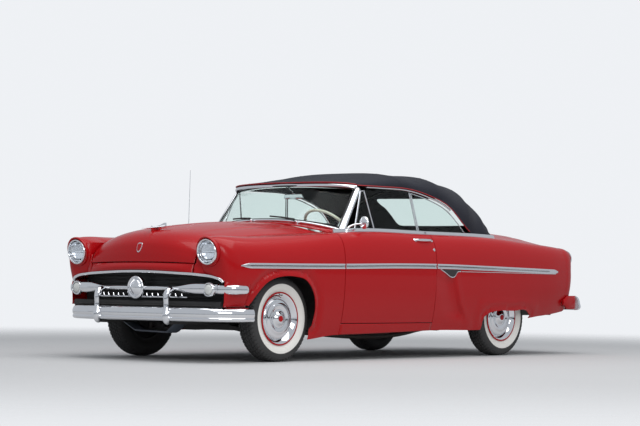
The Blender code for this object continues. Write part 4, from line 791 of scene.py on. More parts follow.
def door_grid(y):
    """Closed section at each station: below the waist by height, above it by the shoulder's angle,
    then four corners of the inner panel."""
    y = np.asarray(y, float)[:, None]
    z = np.linspace(DOOR_BOTTOM_Z, WAIST_Z, 22)[None, :-1] + 0 * y
    lower = as_grid(side_x(y + 0 * z, z), y, z)
    upper = side_points(y, np.linspace(.5, 1.0, 32)[None])
    corners = [(CABIN_EDGE_X - .012, BELT_Z - .004), (DOOR_INNER_X, BELT_Z - .02), (DOOR_INNER_X, .9),
        (DOOR_INNER_X, .72), (DOOR_INNER_X, .55), (DOOR_INNER_X, DOOR_BOTTOM_Z + .11),
        (DOOR_INNER_X + .02, DOOR_BOTTOM_Z)]
    inner = np.stack([np.stack([x + 0 * y[:, 0], y[:, 0], z + 0 * y[:, 0]], axis=-1)
        for x, z in corners], axis=1)
    grid = np.concatenate([lower, upper, inner], axis=1)
    last = grid[-1]
    last[:, 1] -= .034 * (last[:, 0] < .78)
    return grid


for side, word in SIDES:
    piece = solid(f"door_skin_{word}", mirror(door_grid(np.linspace(DOOR_FRONT_Y, DOOR_REAR_Y, 49)), side),
        PAINT, f"door_{word}", sharp=30)
    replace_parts(piece, f"door_{word}")
print("doors", round(DOOR_REAR_Y - DOOR_FRONT_Y, 3), "m long")


# %% [markdown]
# ## Hood, lid and the panels between
# Hood and lid are crowned panels: a rib table gives each rib's edge and centre, and the height falls
# from the centre to the edge by a power. Two soft folds on the hood run forward from the
# windshield's corners, and the centre carries a slim raised spine.

# %% Crowned panels
def crowned(table, u, v, power=2.4):
    """Rows follow the ribs; v from -1 to 1 goes across. Height falls by |v| to the power."""
    numbered = np.column_stack([np.linspace(0, 1, len(table)), table])
    edge_x, edge_y, edge_z, centre_y, centre_z = smooth(numbered, u).T[..., None]
    v = np.asarray(v, float)[None]
    return np.stack([edge_x * v, edge_y + (centre_y - edge_y) * (1 - v ** 2),
        edge_z + (centre_z - edge_z) * (1 - np.abs(v) ** power)], axis=-1)


def tail_y(x):
    return 2.35 - .095 * (np.abs(x) / .6) ** 2


def grille_y(x):
    return -2.47 + .11 * (np.abs(x) / .9) ** 2.4


def cowl_front(x):
    inside = HOOD[0, 1] + (HOOD[0, 3] - HOOD[0, 1]) * (1 - (x / HOOD[0, 0]) ** 2) + PANEL_GAP
    return np.where(np.abs(x) > HOOD[0, 0] + .0001, DOOR_FRONT_Y - PANEL_GAP, inside)


def cowl_height(x, v):
    return 1.03 + (.08 + .012 * v) * (1 - np.abs(x / .735) ** 2.4)


def screen_foot_y(x):
    return -1.03 + .165 * (x / .7) ** 2


def make_lids():
    grid = crowned(HOOD, np.linspace(0, 1, 97), np.linspace(-1, 1, 97))
    across = np.abs(grid[..., 0])
    length = ease(-2.36, -2.05, grid[..., 1]) * (1 - ease(-1.3, -1.16, grid[..., 1]))
    fold = .0035 * (ease(.4, .425, across) - ease(.425, .52, across))
    spine = .0045 * (1 - ease(.012, .03, across)) * length
    grid[..., 2] += spine - .5 * fold * length
    piece = skin("hood_skin", grid, PAINT, "hood", (0, -1.7, .4), .01)
    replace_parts(piece, "hood")

    grid = crowned(LID, np.linspace(0, 1, 81), np.linspace(-1, 1, 97))
    across = np.abs(grid[..., 0])
    grid[..., 2] -= .003 * (1 - ease(0.0, .05, np.abs(across - .47)))
    piece = skin("deck_lid_skin", grid, PAINT, "deck_lid", (0, 1.7, .4), .01)
    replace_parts(piece, "deck_lid")

    x = np.concatenate([[-.735], np.linspace(-.6415, .6415, 81), [.735]])[None]
    v = np.linspace(0, 1, 13)[:, None]
    front, rear = cowl_front(x), screen_foot_y(x) + .06
    grid = as_grid(x, front + (rear - front) * v, cowl_height(x, v))
    piece = skin("cowl_skin", grid, PAINT, "shell", (0, -1.0, .4), .01)
    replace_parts(piece, "cowl")

    x = np.linspace(-.6055, .6055, 81)[None]
    front = 1.5294 - .196 * (x / .6) ** 2
    height = 1.045 + (1.104 + .004 * (1 - v) - 1.045) * (1 - np.abs(x / .6) ** 2.4)
    grid = as_grid(x, front + (1.626 - front) * v, height)
    piece = skin("tulip_skin", grid, PAINT, "shell", (0, 1.5, .4), .01)
    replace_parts(piece, "rear_deck")

    x = np.linspace(-.566, .566, 61)[None]
    share = np.abs(x) / .566
    arch = np.array(GRILLE_ARCH)
    lower = np.interp(np.abs(x), arch[:, 0], arch[:, 1])
    upper = HOOD[-1, 4] + (HOOD[-1, 2] - HOOD[-1, 4]) * share ** 2 - PANEL_GAP
    foot, lip = grille_y(x) + .018, HOOD[-1, 3] + (HOOD[-1, 1] - HOOD[-1, 3]) * share ** 2 + .004
    roll = foot + (lip - foot) * v - .016 * np.sin(np.pi * (.1 + .9 * v)) * (1 - share ** 6)
    grid = as_grid(x, roll, lower + (upper - lower) * v)
    piece = skin("nose_skin", grid, PAINT, "shell", (0, -1.5, .7), .006)
    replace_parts(piece, "nose_panel")

    x = np.linspace(-.6, .6, 61)[None]
    grid = as_grid(x, tail_y(x), .46 + .174 * v)
    piece = skin("tail_skin", grid, PAINT, "shell", (0, 1.7, .5), .012)
    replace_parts(piece, "tail_panel")
    x = np.linspace(-.8, .8, 61)
    seat = np.where(np.abs(x) < .606, tail_y(np.minimum(np.abs(x), .6)) - .006, 2.262)
    reach = 2.425 - .095 * (np.abs(x) / .8) ** 3
    section = [(seat, .468), (seat * .5 + reach * .5, .474), (reach - .006, .481), (reach, .485),
        (reach, .49), (reach - .01, .494), (seat * .5 + reach * .5, .486), (seat, .48)]
    grid = np.stack([np.column_stack([x, y, z + 0 * x]) for y, z in section], axis=1)
    solid("rear_gravel_pan", grid, PAINT)

    # The front pan takes the dark chassis finish; the rear pan is red like the body.
    x = np.linspace(-.74, .74, 61)
    y = grille_y(x) + .045
    section = [(y - .018, .4367), (y - .02, .433), (y - .018, .429), (y + .02, .42), (y + .06, .41),
        (y + .068, .411), (y + .07, .416), (y + .04, .426), (y + .012, .4367)]
    grid = np.stack([np.column_stack([x, a, z + 0 * x]) for a, z in section], axis=1)
    piece = solid("front_gravel_pan", grid, BLACK)
    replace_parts(piece, "gravel_pan")
    z = np.linspace(.424, .632, 12)
    angle = np.linspace(0, np.pi / 2, 24)[None]
    tuck = ease(.59, .632, z)[:, None]
    y = -2.12 - .23 * np.cos(angle) ** .8 + .01 * tuck
    x = .845 + (side_x(y, z[:, None]) + .0008 - .845) * np.sin(angle) ** .8 - .004 * tuck
    apron = as_grid(x, y, z[:, None])
    u, v = np.linspace(0, 1, 12)[None], np.linspace(0, 1, 14)[:, None]
    low = np.interp(.562 + .1 * u, arch[:, 0], arch[:, 1]) - .004
    height = low + (.822 - low) * v
    inner = .562 + .022 * ease(.735, .76, height)
    x = inner + (.668 - inner) * u
    y = -2.408 + .024 * v + .052 * u ** 2 + .006 * (1 - u) ** 6
    cheek = as_grid(x, y, height)
    for side, word in SIDES:
        skin(f"fender_apron_{word}", mirror(apron, side), PAINT, "shell", (side * .5, -1.9, .5), .005)
        skin(f"nose_cheek_{word}", mirror(cheek, side), PAINT, "shell", (side * .6, -1.5, .7), .004)
    print("hood, lid, cowl, tulip panel, nose, tail and gravel pans laid")


make_lids()

# %% Wheel houses
def wheel_house(name, profile, inner_x, side):
    """A dark arched liner over the wheel: a profile in the side view carried from the frame out."""
    line = along_line(profile, 40)
    outer = side_x(line[:, 0], line[:, 1]) - .02
    x = inner_x + (outer - inner_x)[:, None] * np.linspace(0, 1, 10)[None]
    grid = as_grid(side * x, line[:, :1], line[:, 1:])
    skin(name, grid, BLACK, "shell", (side * .7, line[:, 0].mean(), .3), .003)


for side, word in SIDES:
    wheel_house(f"wheel_house_front_{word}", [(-2.15, .44), (-2.11, .6), (-1.98, .705), (-1.72, .745),
        (-1.43, .715), (-1.24, .62), (-1.13, .48), (-1.11, .33)], .474, side)
    wheel_house(f"wheel_house_rear_{word}", [(.76, .41), (.83, .6), (1.0, .72), (1.254, .752), (1.5, .72),
        (1.67, .6), (1.74, .42)], .604, side)
print("wheel houses in")

# %% [markdown]
# ## Bright trim along the side
# The spear is a shallow pressed strip held on by clips, one length per panel, so that the doors
# open. It follows the skin: its line is a table of heights along the car, and its x comes from the
# same section formula as the sheet, plus the depth of the strip.

# %% Sills, spear, crease and belt strip
def tube(name, path, radius, finish, body, sides=12, closed=False, outward=(0, 0, 1),
        squash=1.0, drawn=True):
    """A round or flattened bar along a path; a closed path borrows its own ends for its slopes."""
    path = np.asarray(path, float)
    radius = np.broadcast_to(np.asarray(radius, float), len(path))
    ring = circle(1.0, sides, squash)
    if closed:
        path = np.concatenate([path[-1:], path, path[:2]])
        radius = np.concatenate([radius[-1:], radius, radius[:2]])
    grid = carried(path, outward, ring[None] * radius[:, None, None])
    if closed:
        grid = grid[1:-1]
    return skin(name, grid, finish, body, wrap=True, caps=not closed, drawn=drawn, sharp=60)


SPEAR_WIDEST, LINE_WIDEST = 0.9306, 0.9312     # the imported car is 0.9313 wide at each side


def side_strip(name, y, z, section, finish, body, side):
    """A strip on the body's side: the section is (out, up), set on the skin's x at each height."""
    section = np.asarray(section, float)
    height = z[:, None] + section[None, :, 1]
    station = y[:, None] + 0 * height
    x = side_x(station, height) + section[None, :, 0]
    return solid(name, as_grid(side * np.minimum(x, LINE_WIDEST), station, height), finish, body, sharp=50)


SPEAR = [(-2.232, .741), (-1.079, .753), (-.351, .767), (.149, .771), (.75, .765),
    (1.339, .756), (1.94, .746)]
SPEAR_SECTION = [(-.004, -.0205), (.003, -.02), (.0052, -.016), (.0048, -.0095), (.0004, -.007), (.0002, 0),
    (.0004, .005), (.005, .0075), (.0052, .016), (.003, .0205), (-.004, .021)]
LENGTHS = [("fender", "shell", -2.232, -1.048), ("door", "door", -1.034, .134),
    ("quarter", "shell", .148, 1.935)]


def make_side_trim():
    for side, word in SIDES:
        for part, body, first, last in LENGTHS:
            body = f"door_{word}" if body == "door" else body
            y = np.linspace(first, last, 80)
            z = smooth(SPEAR, y)[:, 0]
            taper = np.ones_like(y)
            if part == "fender":
                taper = np.clip((y - first) / .1, .12, 1) ** .6
            if part == "quarter":
                taper = np.clip((last - y) / .06, .15, 1) ** .5
            section = np.asarray(SPEAR_SECTION)
            height = z[:, None] + section[None, :, 1] * taper[:, None]
            x = np.minimum(side_x(y[:, None] + 0 * height, height) + section[None, :, 0], SPEAR_WIDEST)
            grid = as_grid(side * x, y[:, None], height)
            solid(f"spear_{part}_{word}", grid, CHROME, body, sharp=50)
            ends = slice(6, -1) if part == "fender" else slice(1, -6) if part == "quarter" else slice(1, -1)
            side_strip(f"spear_line_{part}_{word}", y[ends], z[ends] - .001,
                [(-.003, -.0042), (.0002, -.004), (.0004, 0), (.0002, .004), (-.003, .0042)],
                IRON, body, side)
        dip = along_line([(0, .19, .748), (0, .262, .717), (0, .335, .684), (0, .362, .681), (0, .386, .689),
            (0, .427, .728), (0, .47, .7315)], 60)
        side_strip(f"dip_strip_{word}", dip[:, 1], dip[:, 2], [(-.003, -.0045), (.0035, -.0035), (.0048, 0),
            (.0035, .0035), (-.003, .0045)], CHROME, "shell", side)
        v = np.linspace(0, 1, 6)[None]
        top = smooth(SPEAR, dip[:, 1])[:, 0] - .024
        height = top[:, None] + (dip[:, 2] - top)[:, None] * v
        station = dip[:, 1:2] + 0 * height
        grid = as_grid(side * (side_x(station, height) + .0012), station, height)
        skin(f"dip_inlay_{word}", grid, SEAL, "shell", (0, 0, .7), .001)
        y = np.linspace(.48, 1.9, 60)
        side_strip(f"crease_{word}", y, .7305 - .0024 * (y - .48), [(-.003, -.003), (.0024, -.0022),
            (.0034, 0), (.0024, .0022), (-.003, .003)], CHROME, "shell", side)
        y = np.linspace(DOOR_FRONT_Y - PANEL_GAP, DOOR_REAR_Y + PANEL_GAP, 40)[:, None]
        lower = smooth(BODY, y[:, 0])[:, 1:2]
        z = lower + (.2935 - lower) * np.linspace(0, 1, 9)[None]
        grid = as_grid(side * (side_x(y + 0 * z, z) + .0016), y, z)
        skin(f"sill_{word}", grid, PAINT, "shell", (0, 0, .3), .0012)
        for part, body, first, last in (("door", f"door_{word}", -1.03, .133),
                ("quarter", "shell", .147, 1.12)):
            y = np.linspace(first, last, 60)
            crest = side_points(y, 1.0)
            path = np.column_stack([side * (crest[:, 0] - .001), y, crest[:, 2] + .0105])
            tube(f"belt_strip_{part}_{word}", path, .019, CHROME, body, 16,
                outward=(-side * .3, 0, .95), squash=.42)
    print("spear, dip, crease, sill and belt strips on both sides")


make_side_trim()


# %% Door handles and locks
def make_handles():
    for side, word in SIDES:
        y = np.linspace(-.107, .111, 40)
        lift = .03 * np.sin(np.pi * np.clip((y + .107) / .218, 0, 1)) ** .45
        base = side_x(y, 0 * y + .985)
        path = np.column_stack([side * np.minimum(base - .006 + lift, .93), y, 0 * y + .988])
        size = .0085 + .0025 * np.sin(np.pi * (y + .107) / .218)
        tube(f"door_handle_{word}", path, size, CHROME, f"door_{word}", 12, squash=.7)
        for number, place in enumerate((-.107, .111)):
            seat = [(-.012, .0), (-.012, .017), (.001, .018), (.005, .013), (.007, 0)]
            x = float(side_x(np.array(place), np.array(.988)))
            turned(f"handle_seat_{number}_{word}", seat, (side * x, place, .988), (side * .75, 0, .66), 24,
                CHROME, f"door_{word}")
        lock = [(-.006, 0), (-.006, .013), (.002, .013), (.0035, .01), (.0036, .004), (.002, 0)]
        x = float(side_x(np.array(.122), np.array(.909)))
        turned(f"door_lock_{word}", lock, (side * x, .118, .909), (side, 0, .25), 28, CHROME, f"door_{word}")
    print("handles on")


make_handles()

# %% [markdown]
# ## Bumpers
# A bumper is a rolled section carried along a plan curve that bends round the corner. The guards
# are separate castings bolted over it. The section is drawn as outward distance and height, and its
# corners are rounded by cutting them twice, as a file would.

# %% Bumpers and guards
def plan_rail(path, section, way=1):
    """Section of (outward, height) carried along a plan curve of (x, y); outward is the path's own
    normal, turned by way."""
    path = np.asarray(path, float)
    along = unit(np.gradient(path, axis=0))
    out = way * np.column_stack([along[:, 1], -along[:, 0]])
    section = np.asarray(section, float)
    if section.ndim == 2:
        section = np.broadcast_to(section, (len(path), *section.shape))
    xy = path[:, None] + section[..., :1] * out[:, None]
    return np.concatenate([xy, section[..., 1:]], axis=-1)


def full_path(half, count):
    """Plan curve from a table of distance, x, y for one half, mirrored to the other side."""
    half = np.asarray(half, float)
    right = smooth(half, np.linspace(0, half[-1, 0], count))
    left = right[:0:-1] * [-1, 1]
    return np.concatenate([left, right])


FRONT_BUMPER = [(0, 0, -2.5), (.35, .35, -2.494), (.6, .598, -2.462), (.79, .772, -2.392), (.92, .862, -2.3),
    (1.03, .9, -2.2), (1.15, .905, -2.085)]
REAR_BUMPER = [(0, 0, 2.47), (.35, .35, 2.464), (.6, .598, 2.44), (.76, .75, 2.4), (.87, .845, 2.352),
    (.95, .893, 2.29), (1.0, .908, 2.245)]
FRONT_GUARD_X, REAR_GUARD_X = .385, .42
FRONT_GUARD = [(-2.468, .3), (-2.49, .305), (-2.504, .335), (-2.503, .38), (-2.5, .44), (-2.502, .49),
    (-2.49, .53), (-2.456, .548), (-2.43, .54)]
REAR_GUARD = [(2.43, .405), (2.457, .418), (2.471, .48), (2.467, .56), (2.44, .59)]


def make_bumpers():
    path = full_path(FRONT_BUMPER, 90)
    section = rounded([(-.03, .312), (-.01, .311), (.004, .315), (.012, .326), (.0125, .337), (.006, .345),
        (.011, .352), (.015, .368), (.0125, .388), (.004, .406), (-.01, .418), (-.03, .422), (-.026, .4),
        (-.014, .366), (-.02, .334)], .2)
    piece = solid("front_bumper_bar", plan_rail(path, section), CHROME, sharp=50)
    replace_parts(piece, "front_bumper")
    path = full_path(REAR_BUMPER, 90)
    section = rounded([(-.032, .402), (-.008, .401), (.014, .408), (.024, .43), (.022, .446), (.017, .46),
        (.013, .486), (.004, .51), (-.012, .527), (-.036, .532), (-.03, .505), (-.018, .46), (-.022, .424)])
    piece = solid("rear_bumper_bar", plan_rail(path, section, -1), CHROME, sharp=50)
    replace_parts(piece, "rear_bumper")
    for side, word in SIDES:
        line = mirror(along_line([(FRONT_GUARD_X, y, z) for y, z in FRONT_GUARD], 70), side)
        size = smooth([(0, .012), (.1, .026), (.22, .031), (.45, .024), (.7, .026), (.86, .028), (.95, .02),
            (1, .008)], np.linspace(0, 1, 70))[:, 0]
        tube(f"front_guard_{word}", line, size, CHROME, "shell", 24, outward=ACROSS)
        line = mirror(along_line([(REAR_GUARD_X, y, z) for y, z in REAR_GUARD], 50), side)
        share = np.linspace(0, 1, 50)
        size = .023 * np.clip(np.sin(np.pi * np.clip(share * 1.02 + .04, 0, 1)), .3, 1) ** .5
        tube(f"rear_guard_{word}", line, size, CHROME, "shell", 20, outward=ACROSS, squash=.95)
        y = np.linspace(2.05, 2.262, 30)
        body_x = .895 - .012 * np.linspace(0, 1, 30) ** 2
        section = np.array([(0, -.062), (.006, -.05), (.008, 0), (.006, .046), (0, .06), (-.012, .058),
            (-.01, 0), (-.012, -.06)])
        grow = (.35 + .65 * ease(0, .35, np.linspace(0, 1, 30)))[:, None]
        grid = as_grid(side * (body_x[:, None] + section[None, :, 0]), y[:, None],
            .472 + section[None, :, 1] * grow)
        solid(f"gravel_shield_{word}", grid, PAINT, sharp=50)
    print("bumpers", round(float(path[:, 0].max() * 2), 3), "m wide")


make_bumpers()

# %% [markdown]
# ## Grille
# Inside the mouth hangs a floating bar, slim in the middle and thick at its ends, with a round boss in
# the centre and a parking lamp in each end. Below it a thin bar carries short teeth. The bar is a
# lens-shaped section whose height and depth are functions of x.

# %% Mouth, bars, boss and teeth
def make_grille():
    line = along_line([(-x, z) for x, z in GRILLE_ARCH[:0:-1]] + GRILLE_ARCH, 160)
    slope = unit(np.gradient(line, axis=0))
    inset = line + np.column_stack([slope[:, 1], -slope[:, 0]]) * .0127
    inset = inset[inset[:, 1] > .605]
    y = grille_y(inset[:, 0]) + .022 + .3 * np.maximum(np.abs(inset[:, 0]) - .8, 0)
    piece = tube("mouth_trim", np.column_stack([inset[:, 0], y, inset[:, 1]]), .0125, CHROME, "shell",
        14, outward=AHEAD)
    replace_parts(piece, "grille_surround")

    bar = [(0, .034, .03), (.2, .034, .03), (.42, .038, .034), (.5, .066, .05), (.56, .084, .06),
        (.66, .088, .064), (.8, .078, .058)]
    x = np.linspace(-.8, .8, 161)
    height, depth = smooth(bar, np.abs(x)).T
    turn = full_turn(24)
    cos, sin = np.cos(turn), np.sin(turn)
    z = .562 + height[:, None] / 2 * np.sign(sin) * np.abs(sin) ** .85
    depth_y = depth[:, None] / 2 * np.sign(cos) * np.abs(cos) ** 1.15
    grid = as_grid(x[:, None], (grille_y(x) + .03)[:, None] + depth_y, z)
    piece = solid("floating_bar", grid, CHROME, sharp=50)
    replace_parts(piece, "grille_bar")

    rows = [(0, .765, grille_y(.765) + .036, 12, .074, .046), (1, .855, grille_y(.855) + .048, 35, .072,
        .046), (2, .904, -2.288, 65, .071, .036), (3, .9125, -2.22, 84, .066, .03),
        (3.7, .9115, -2.16, 91, .05, .024), (4, .908, -2.142, 92, .016, .01)]
    wx, wy, heading, height, depth = smooth(rows, np.linspace(0, 4, 49)).T
    ox, oy = np.sin(np.radians(heading)), -np.cos(np.radians(heading))
    for side, word in SIDES:
        grid = as_grid(side * (wx[:, None] + (ox * depth / 2)[:, None] * cos),
            wy[:, None] + (oy * depth / 2)[:, None] * cos, .558 + (height / 2)[:, None] * np.sign(sin)
            * np.abs(sin) ** .85)
        solid(f"bar_wing_{word}", grid, CHROME, sharp=50)
        centre = (side * .735, grille_y(.735) + .03, .556)
        ring = [(.02, .03), (-.012, .056), (-.034, .0555), (-.04, .051), (-.0385, .045), (-.03, .0435),
            (.0, .04), (.02, .03)]
        turned(f"parking_ring_{word}", ring, centre, BACK, 48, CHROME)
        lens = [(-.01, 0), (-.052, 0), (-.0505, .014), (-.046, .028), (-.038, .039), (-.03, .0425),
            (-.01, .042), (-.01, 0)]
        turned(f"parking_lens_{word}", lens, centre, BACK, 40, AMBER)

    centre = (0.0, grille_y(0) + .06, .566)
    boss = [(.02, 0), (.02, .06), (-.03, .088), (-.052, .0895), (-.06, .085), (-.064, .076), (-.058, .07),
        (-.056, .066), (-.066, .058), (-.086, .034), (-.099, .016), (-.106, .006), (-.108, 0)]
    turned("centre_boss", boss, centre, BACK, 72, CHROME, sharp=50)
    ridge = along_line([(0, centre[1] - .066, .566 - .06), (0, centre[1] - .108, .566 - .012),
        (0, centre[1] - .109, .566 + .012), (0, centre[1] - .066, .566 + .06)], 30)
    tube("boss_ridge", ridge, .005, CHROME, "shell", 10, outward=ACROSS)

    x = np.linspace(-.815, .815, 121)
    section = rounded([(-.014, .414), (-.02, .446), (-.01, .468), (.014, .464), (.014, .414)])
    y = grille_y(x) + .045
    grid = as_grid(x[:, None], y[:, None] + section[None, :, 0], section[None, :, 1])
    piece = solid("lower_bar", grid, GRILLE_BLACK, sharp=50)
    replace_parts(piece, "grille_teeth")
    x = np.linspace(-.51, .51, 61)
    tube("tooth_rail", np.column_stack([x, grille_y(x) + .04, .4945 + 0 * x]), .0068, CHROME, "shell",
        10, outward=AHEAD)
    numbers = np.array([n for n in range(-7, 8) if n])
    for n in numbers:
        tx = .06 * n + math.copysign(.04, n)
        shape = [(.01, .493), (.01, .5), (.0065, .513), (.002, .524)]
        rows = [[(tx + a * w, float(grille_y(tx)) + .04 + b * .01, z) for a, b in rounded([(1, 1), (1, -.6),
            (0, -1.25), (-1, -.6), (-1, 1)], .2)] for w, z in shape]
        solid(f"tooth_{int(n) + 8}", rows, CHROME, sharp=50)
    x = np.linspace(-.8, .8, 61)[None]
    z = np.linspace(.44, .7, 9)[:, None]
    grid = as_grid(x, grille_y(x) + .135 + 0 * z, z)
    skin("grille_screen", grid[:, 1:-1], GRILLE_BLACK, "shell", (0, -1.5, .6), .002)
    for number in range(9):
        z = .462 + .027 * number
        xs = np.linspace(-.76, .76, 61)
        path = np.column_stack([xs, grille_y(xs) + .128, 0 * xs + z])
        tube(f"grille_slat_{number}", path, .0045, GRILLE_BLACK, "shell", 6, outward=AHEAD)
    print("grille with", len(numbers), "teeth")


make_grille()

# %% [markdown]
# ## Lamps
# A sealed lamp is a shallow glass bowl over a mirror, held by a bright ring and sunk in a painted
# rim. All are turned forms about the lamp's own axis, which leans back a little.

# %% Headlamps and tail lamps
def make_lamps():
    for side, word in SIDES:
        centre = HEADLAMP * [side, 1, 1]
        axis = (0, 1, HEADLAMP_LEAN)
        bowl = [(.05, 0), (.048, .03), (.036, .06), (.006, .084), (-.016, .0875), (-.016, .0855),
            (.004, .081), (.032, .057), (.044, .028), (.046, 0)]
        piece = turned(f"lamp_mirror_{word}", bowl, centre, axis, 64, CHROME)
        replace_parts(piece, f"headlamp_{word}")
        glass = [(-.02, 0), (-.0545, 0), (-.0535, .016), (-.05, .034), (-.043, .055),
            (-.034, .072), (-.026, .083), (-.018, .0855), (-.014, .08), (-.024, .064),
            (-.034, .045), (-.04, .025), (-.042, 0)]
        turned(f"lamp_lens_{word}", glass[1:], centre, axis, 64, LENS)
        ring = [(-.018, .086), (-.03, .0855), (-.036, .088), (-.0375, .092), (-.036, .0965), (-.03, .1),
            (-.012, .1015), (-.008, .095), (-.018, .086)]
        turned(f"lamp_ring_{word}", ring, centre, axis, 72, CHROME, sharp=60)
        turn = full_turn(96)
        hood = .5 + .5 * np.sin(turn)
        section = rounded([(-.0095, 0), (-.0085, -1), (0, -1.12), (.006, -.92), (.0062, 0), (.0, .1)], .25)
        reach = .012 + .026 * hood ** 1.3
        radius = .1085 + section[None, :, 0]
        y = centre[1] - HEADLAMP_LEAN * radius * np.sin(turn)[:, None] + section[None, :, 1] * reach[:, None]
        grid = as_grid(centre[0] + radius * np.cos(turn)[:, None], y, centre[2]
            + radius * np.sin(turn)[:, None])
        grid = np.concatenate([grid, grid[:1]])
        skin(f"lamp_brow_{word}", grid, PAINT, "shell", wrap=True, sharp=60)

        tail = TAIL_LAMP * [side, 1, 1]
        lens = [(-.05, 0), (-.05, .05), (.0, .06), (.014, .0665), (.026, .062), (.036, .05), (.039, .04),
            (.037, .032), (.046, .028), (.053, .018), (.0555, .008), (.056, 0)]
        piece = turned(f"tail_lens_{word}", lens, tail, BACK, 56, RED_LENS)
        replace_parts(piece, f"tail_lamp_{word}")
        ring = [(.0, .066), (.014, .0655), (.02, .068), (.0205, .073), (.014, .0775),
            (.002, .0775), (.0, .066)]
        turned(f"tail_ring_{word}", ring, tail, BACK, 56, CHROME)
    print("four lamps")


make_lamps()

# %% [markdown]
# ## Windshield, side glass and their frames
# The windshield is bent plate glass: a ruled surface between a foot curve on the cowl and a head curve
# at the top's front bow. The side panes are flat and lean in. Bright channels edge them all.

# %% Glass and channels
def screen(s, up):
    """Straight lines from the foot curve to the head curve: s from -1 to 1 across, up from 0 to 1."""
    s, up = np.broadcast_arrays(np.asarray(s, float), np.asarray(up, float))
    fx, hx = .712 * s, .668 * s
    fy = screen_foot_y(fx)
    front = cowl_front(fx)
    fz = cowl_height(fx, (fy - front) / (fy + .06 - front)) + .0126
    share = np.abs(hx) / .672
    foot = np.stack([fx, fy, fz], axis=-1)
    head = np.stack([hx, -.748 + .14 * share ** 2, 1.434 - .03 * share ** 2], axis=-1)
    return foot + (head - foot) * up[..., None]


def pane_x(z):
    return .7535 - .0535 * (z - 1.045) / .355


def window_bar(name, points, width, body, side, finish=CHROME):
    """A flat channel in the plane of a side pane."""
    line = along_line([(0, y, z) for y, z in points], 30)
    line[:, 0] = side * (pane_x(line[:, 2]) - .0025)
    return tube(name, line, .55 * width, finish, body, 10, outward=ACROSS, squash=1.82)


def make_glass():
    s = np.linspace(-.981, .981, 61)[None]
    up = np.linspace(.0295, .9705, 21)[:, None]
    piece = skin("windshield_pane", screen(s, up), GLAZING, "shell", (0, -.3, 1.2), .005)
    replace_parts(piece, "windshield_glass")
    across = np.linspace(-1, 1, 61)
    path = np.concatenate([screen(across, 0.0), screen(1.0, np.linspace(0, 1, 16)[1:-1]),
        screen(across[::-1], 1.0), screen(-1.0, np.linspace(1, 0, 16)[1:-1])])
    piece = tube("screen_frame", path, .012, CHROME, "shell", 12, closed=True, outward=(0, -1, .3))
    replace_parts(piece, "windshield_frame")
    gasket = np.concatenate([screen(across * .975, .03), screen(.975, np.linspace(.03, .97, 16)[1:-1]),
        screen(across[::-1] * .975, .97), screen(-.975, np.linspace(.97, .03, 16)[1:-1])])
    tube("screen_gasket", gasket + [0, -.002, .001], .0065, SEAL, "shell", 8, closed=True,
        outward=(0, -1, .3))
    for side, word in SIDES:
        up = np.linspace(.0, .985, 24)
        edge = screen(side * 1.0, up)
        width = .029 - .007 * up
        tube(f"screen_pillar_{word}", edge + [side * .002, .014, 0], width, CHROME, "shell", 18,
            outward=(side * .45, .85, 0), squash=.5)
        for node in (f"door_glass_{word}", f"quarter_glass_{word}"):
            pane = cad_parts[node]
            pane.data.materials.clear()
            pane.data.materials.append(GLAZING)
        door = f"door_{word}"
        window_bar(f"vent_front_{word}", [(-.729, 1.05), (-.602, 1.376)], .009, door, side)
        window_bar(f"vent_top_{word}", [(-.606, 1.374), (-.572, 1.38)], .006, door, side)
        window_bar(f"vent_post_{word}", [(-.474, 1.046), (-.56, 1.384)], .0085, door, side)
        window_bar(f"glass_rear_{word}", [(.092, 1.046), (.034, 1.39)], .007, door, side)
        window_bar(f"glass_foot_{word}", [(-.73, 1.0435), (-.3, 1.0435), (.094, 1.0435)], .0055, door, side)
        window_bar(f"quarter_front_{word}", [(.1135, 1.052), (.056, 1.384)], .0065, "shell", side)
        window_bar(f"quarter_foot_{word}", [(.112, 1.05), (.44, 1.05), (.755, 1.05)], .0055, "shell", side)
        window_bar(f"quarter_arch_{word}", [(.058, 1.384), (.289, 1.338), (.54, 1.246), (.68, 1.135),
            (.746, 1.07)], .005, "shell", side)
    for number, (foot, tip) in enumerate((((.52, -.012), (.1, .085)), ((-.14, -.012), (-.56, .085)))):
        root = screen(foot[0], 0.0) + [0, -.028, -.004]
        elbow = screen(foot[0] - .1, .04) + [0, -.022, .008]
        end = screen(tip[0] + .17, .085) + [0, -.014, .006]
        tube(f"wiper_arm_{number}", along_line([root, elbow, end], 24), .0035, SEAL, "shell",
            8, outward=AHEAD)
        s = np.linspace(foot[0] - .06, tip[0], 30)
        blade = screen(s, np.linspace(.05, .1, 30)) + [0, -.01, .004]
        tube(f"wiper_blade_{number}", blade, .0045, SEAL, "shell", 6, outward=AHEAD, squash=1.6)
        hub = [(-.014, 0), (-.014, .012), (.01, .01), (.014, .005), (.015, 0)]
        turned(f"wiper_hub_{number}", hub, root, (0, -.3, .95), 20, CHROME)
    stalk = along_line([(0, -.74, 1.424), (0, -.69, 1.398), (0, -.65, 1.375), (0, -.64, 1.352)], 20)
    tube("mirror_stalk", stalk, .0055, CHROME, "shell", 10, outward=ACROSS)
    outline = rounded([(-.11, 1.33), (-.104, 1.364), (0, 1.369), (.104, 1.364), (.11, 1.33), (.1, 1.321),
        (0, 1.319), (-.1, 1.321)])
    rows = [(.05, -.652), (.8, -.652), (.97, -.649), (1.0, -.64), (.96, -.632), (.8, -.628), (.05, -.628)]
    solid("mirror_head", shrunk(outline, rows), CHROME)
    print("glass, channels and wipers fitted")


make_glass()

# %% [markdown]
# ## The soft top
# Canvas is stretched over bows from the header to a strip behind the seat. Each bow is a squared
# arch between two base points, and the cloth between two bows pulls in a little, so the surface is
# the arch formula moved along its own normal: out at a bow, in between bows, with a raised double
# seam on each side and fine pull lines in the rear corners. The window is cut last.

# %% Arches, sag and seams
BOWS = np.array([0.0, .2, .375, .545, .7, 1.0])


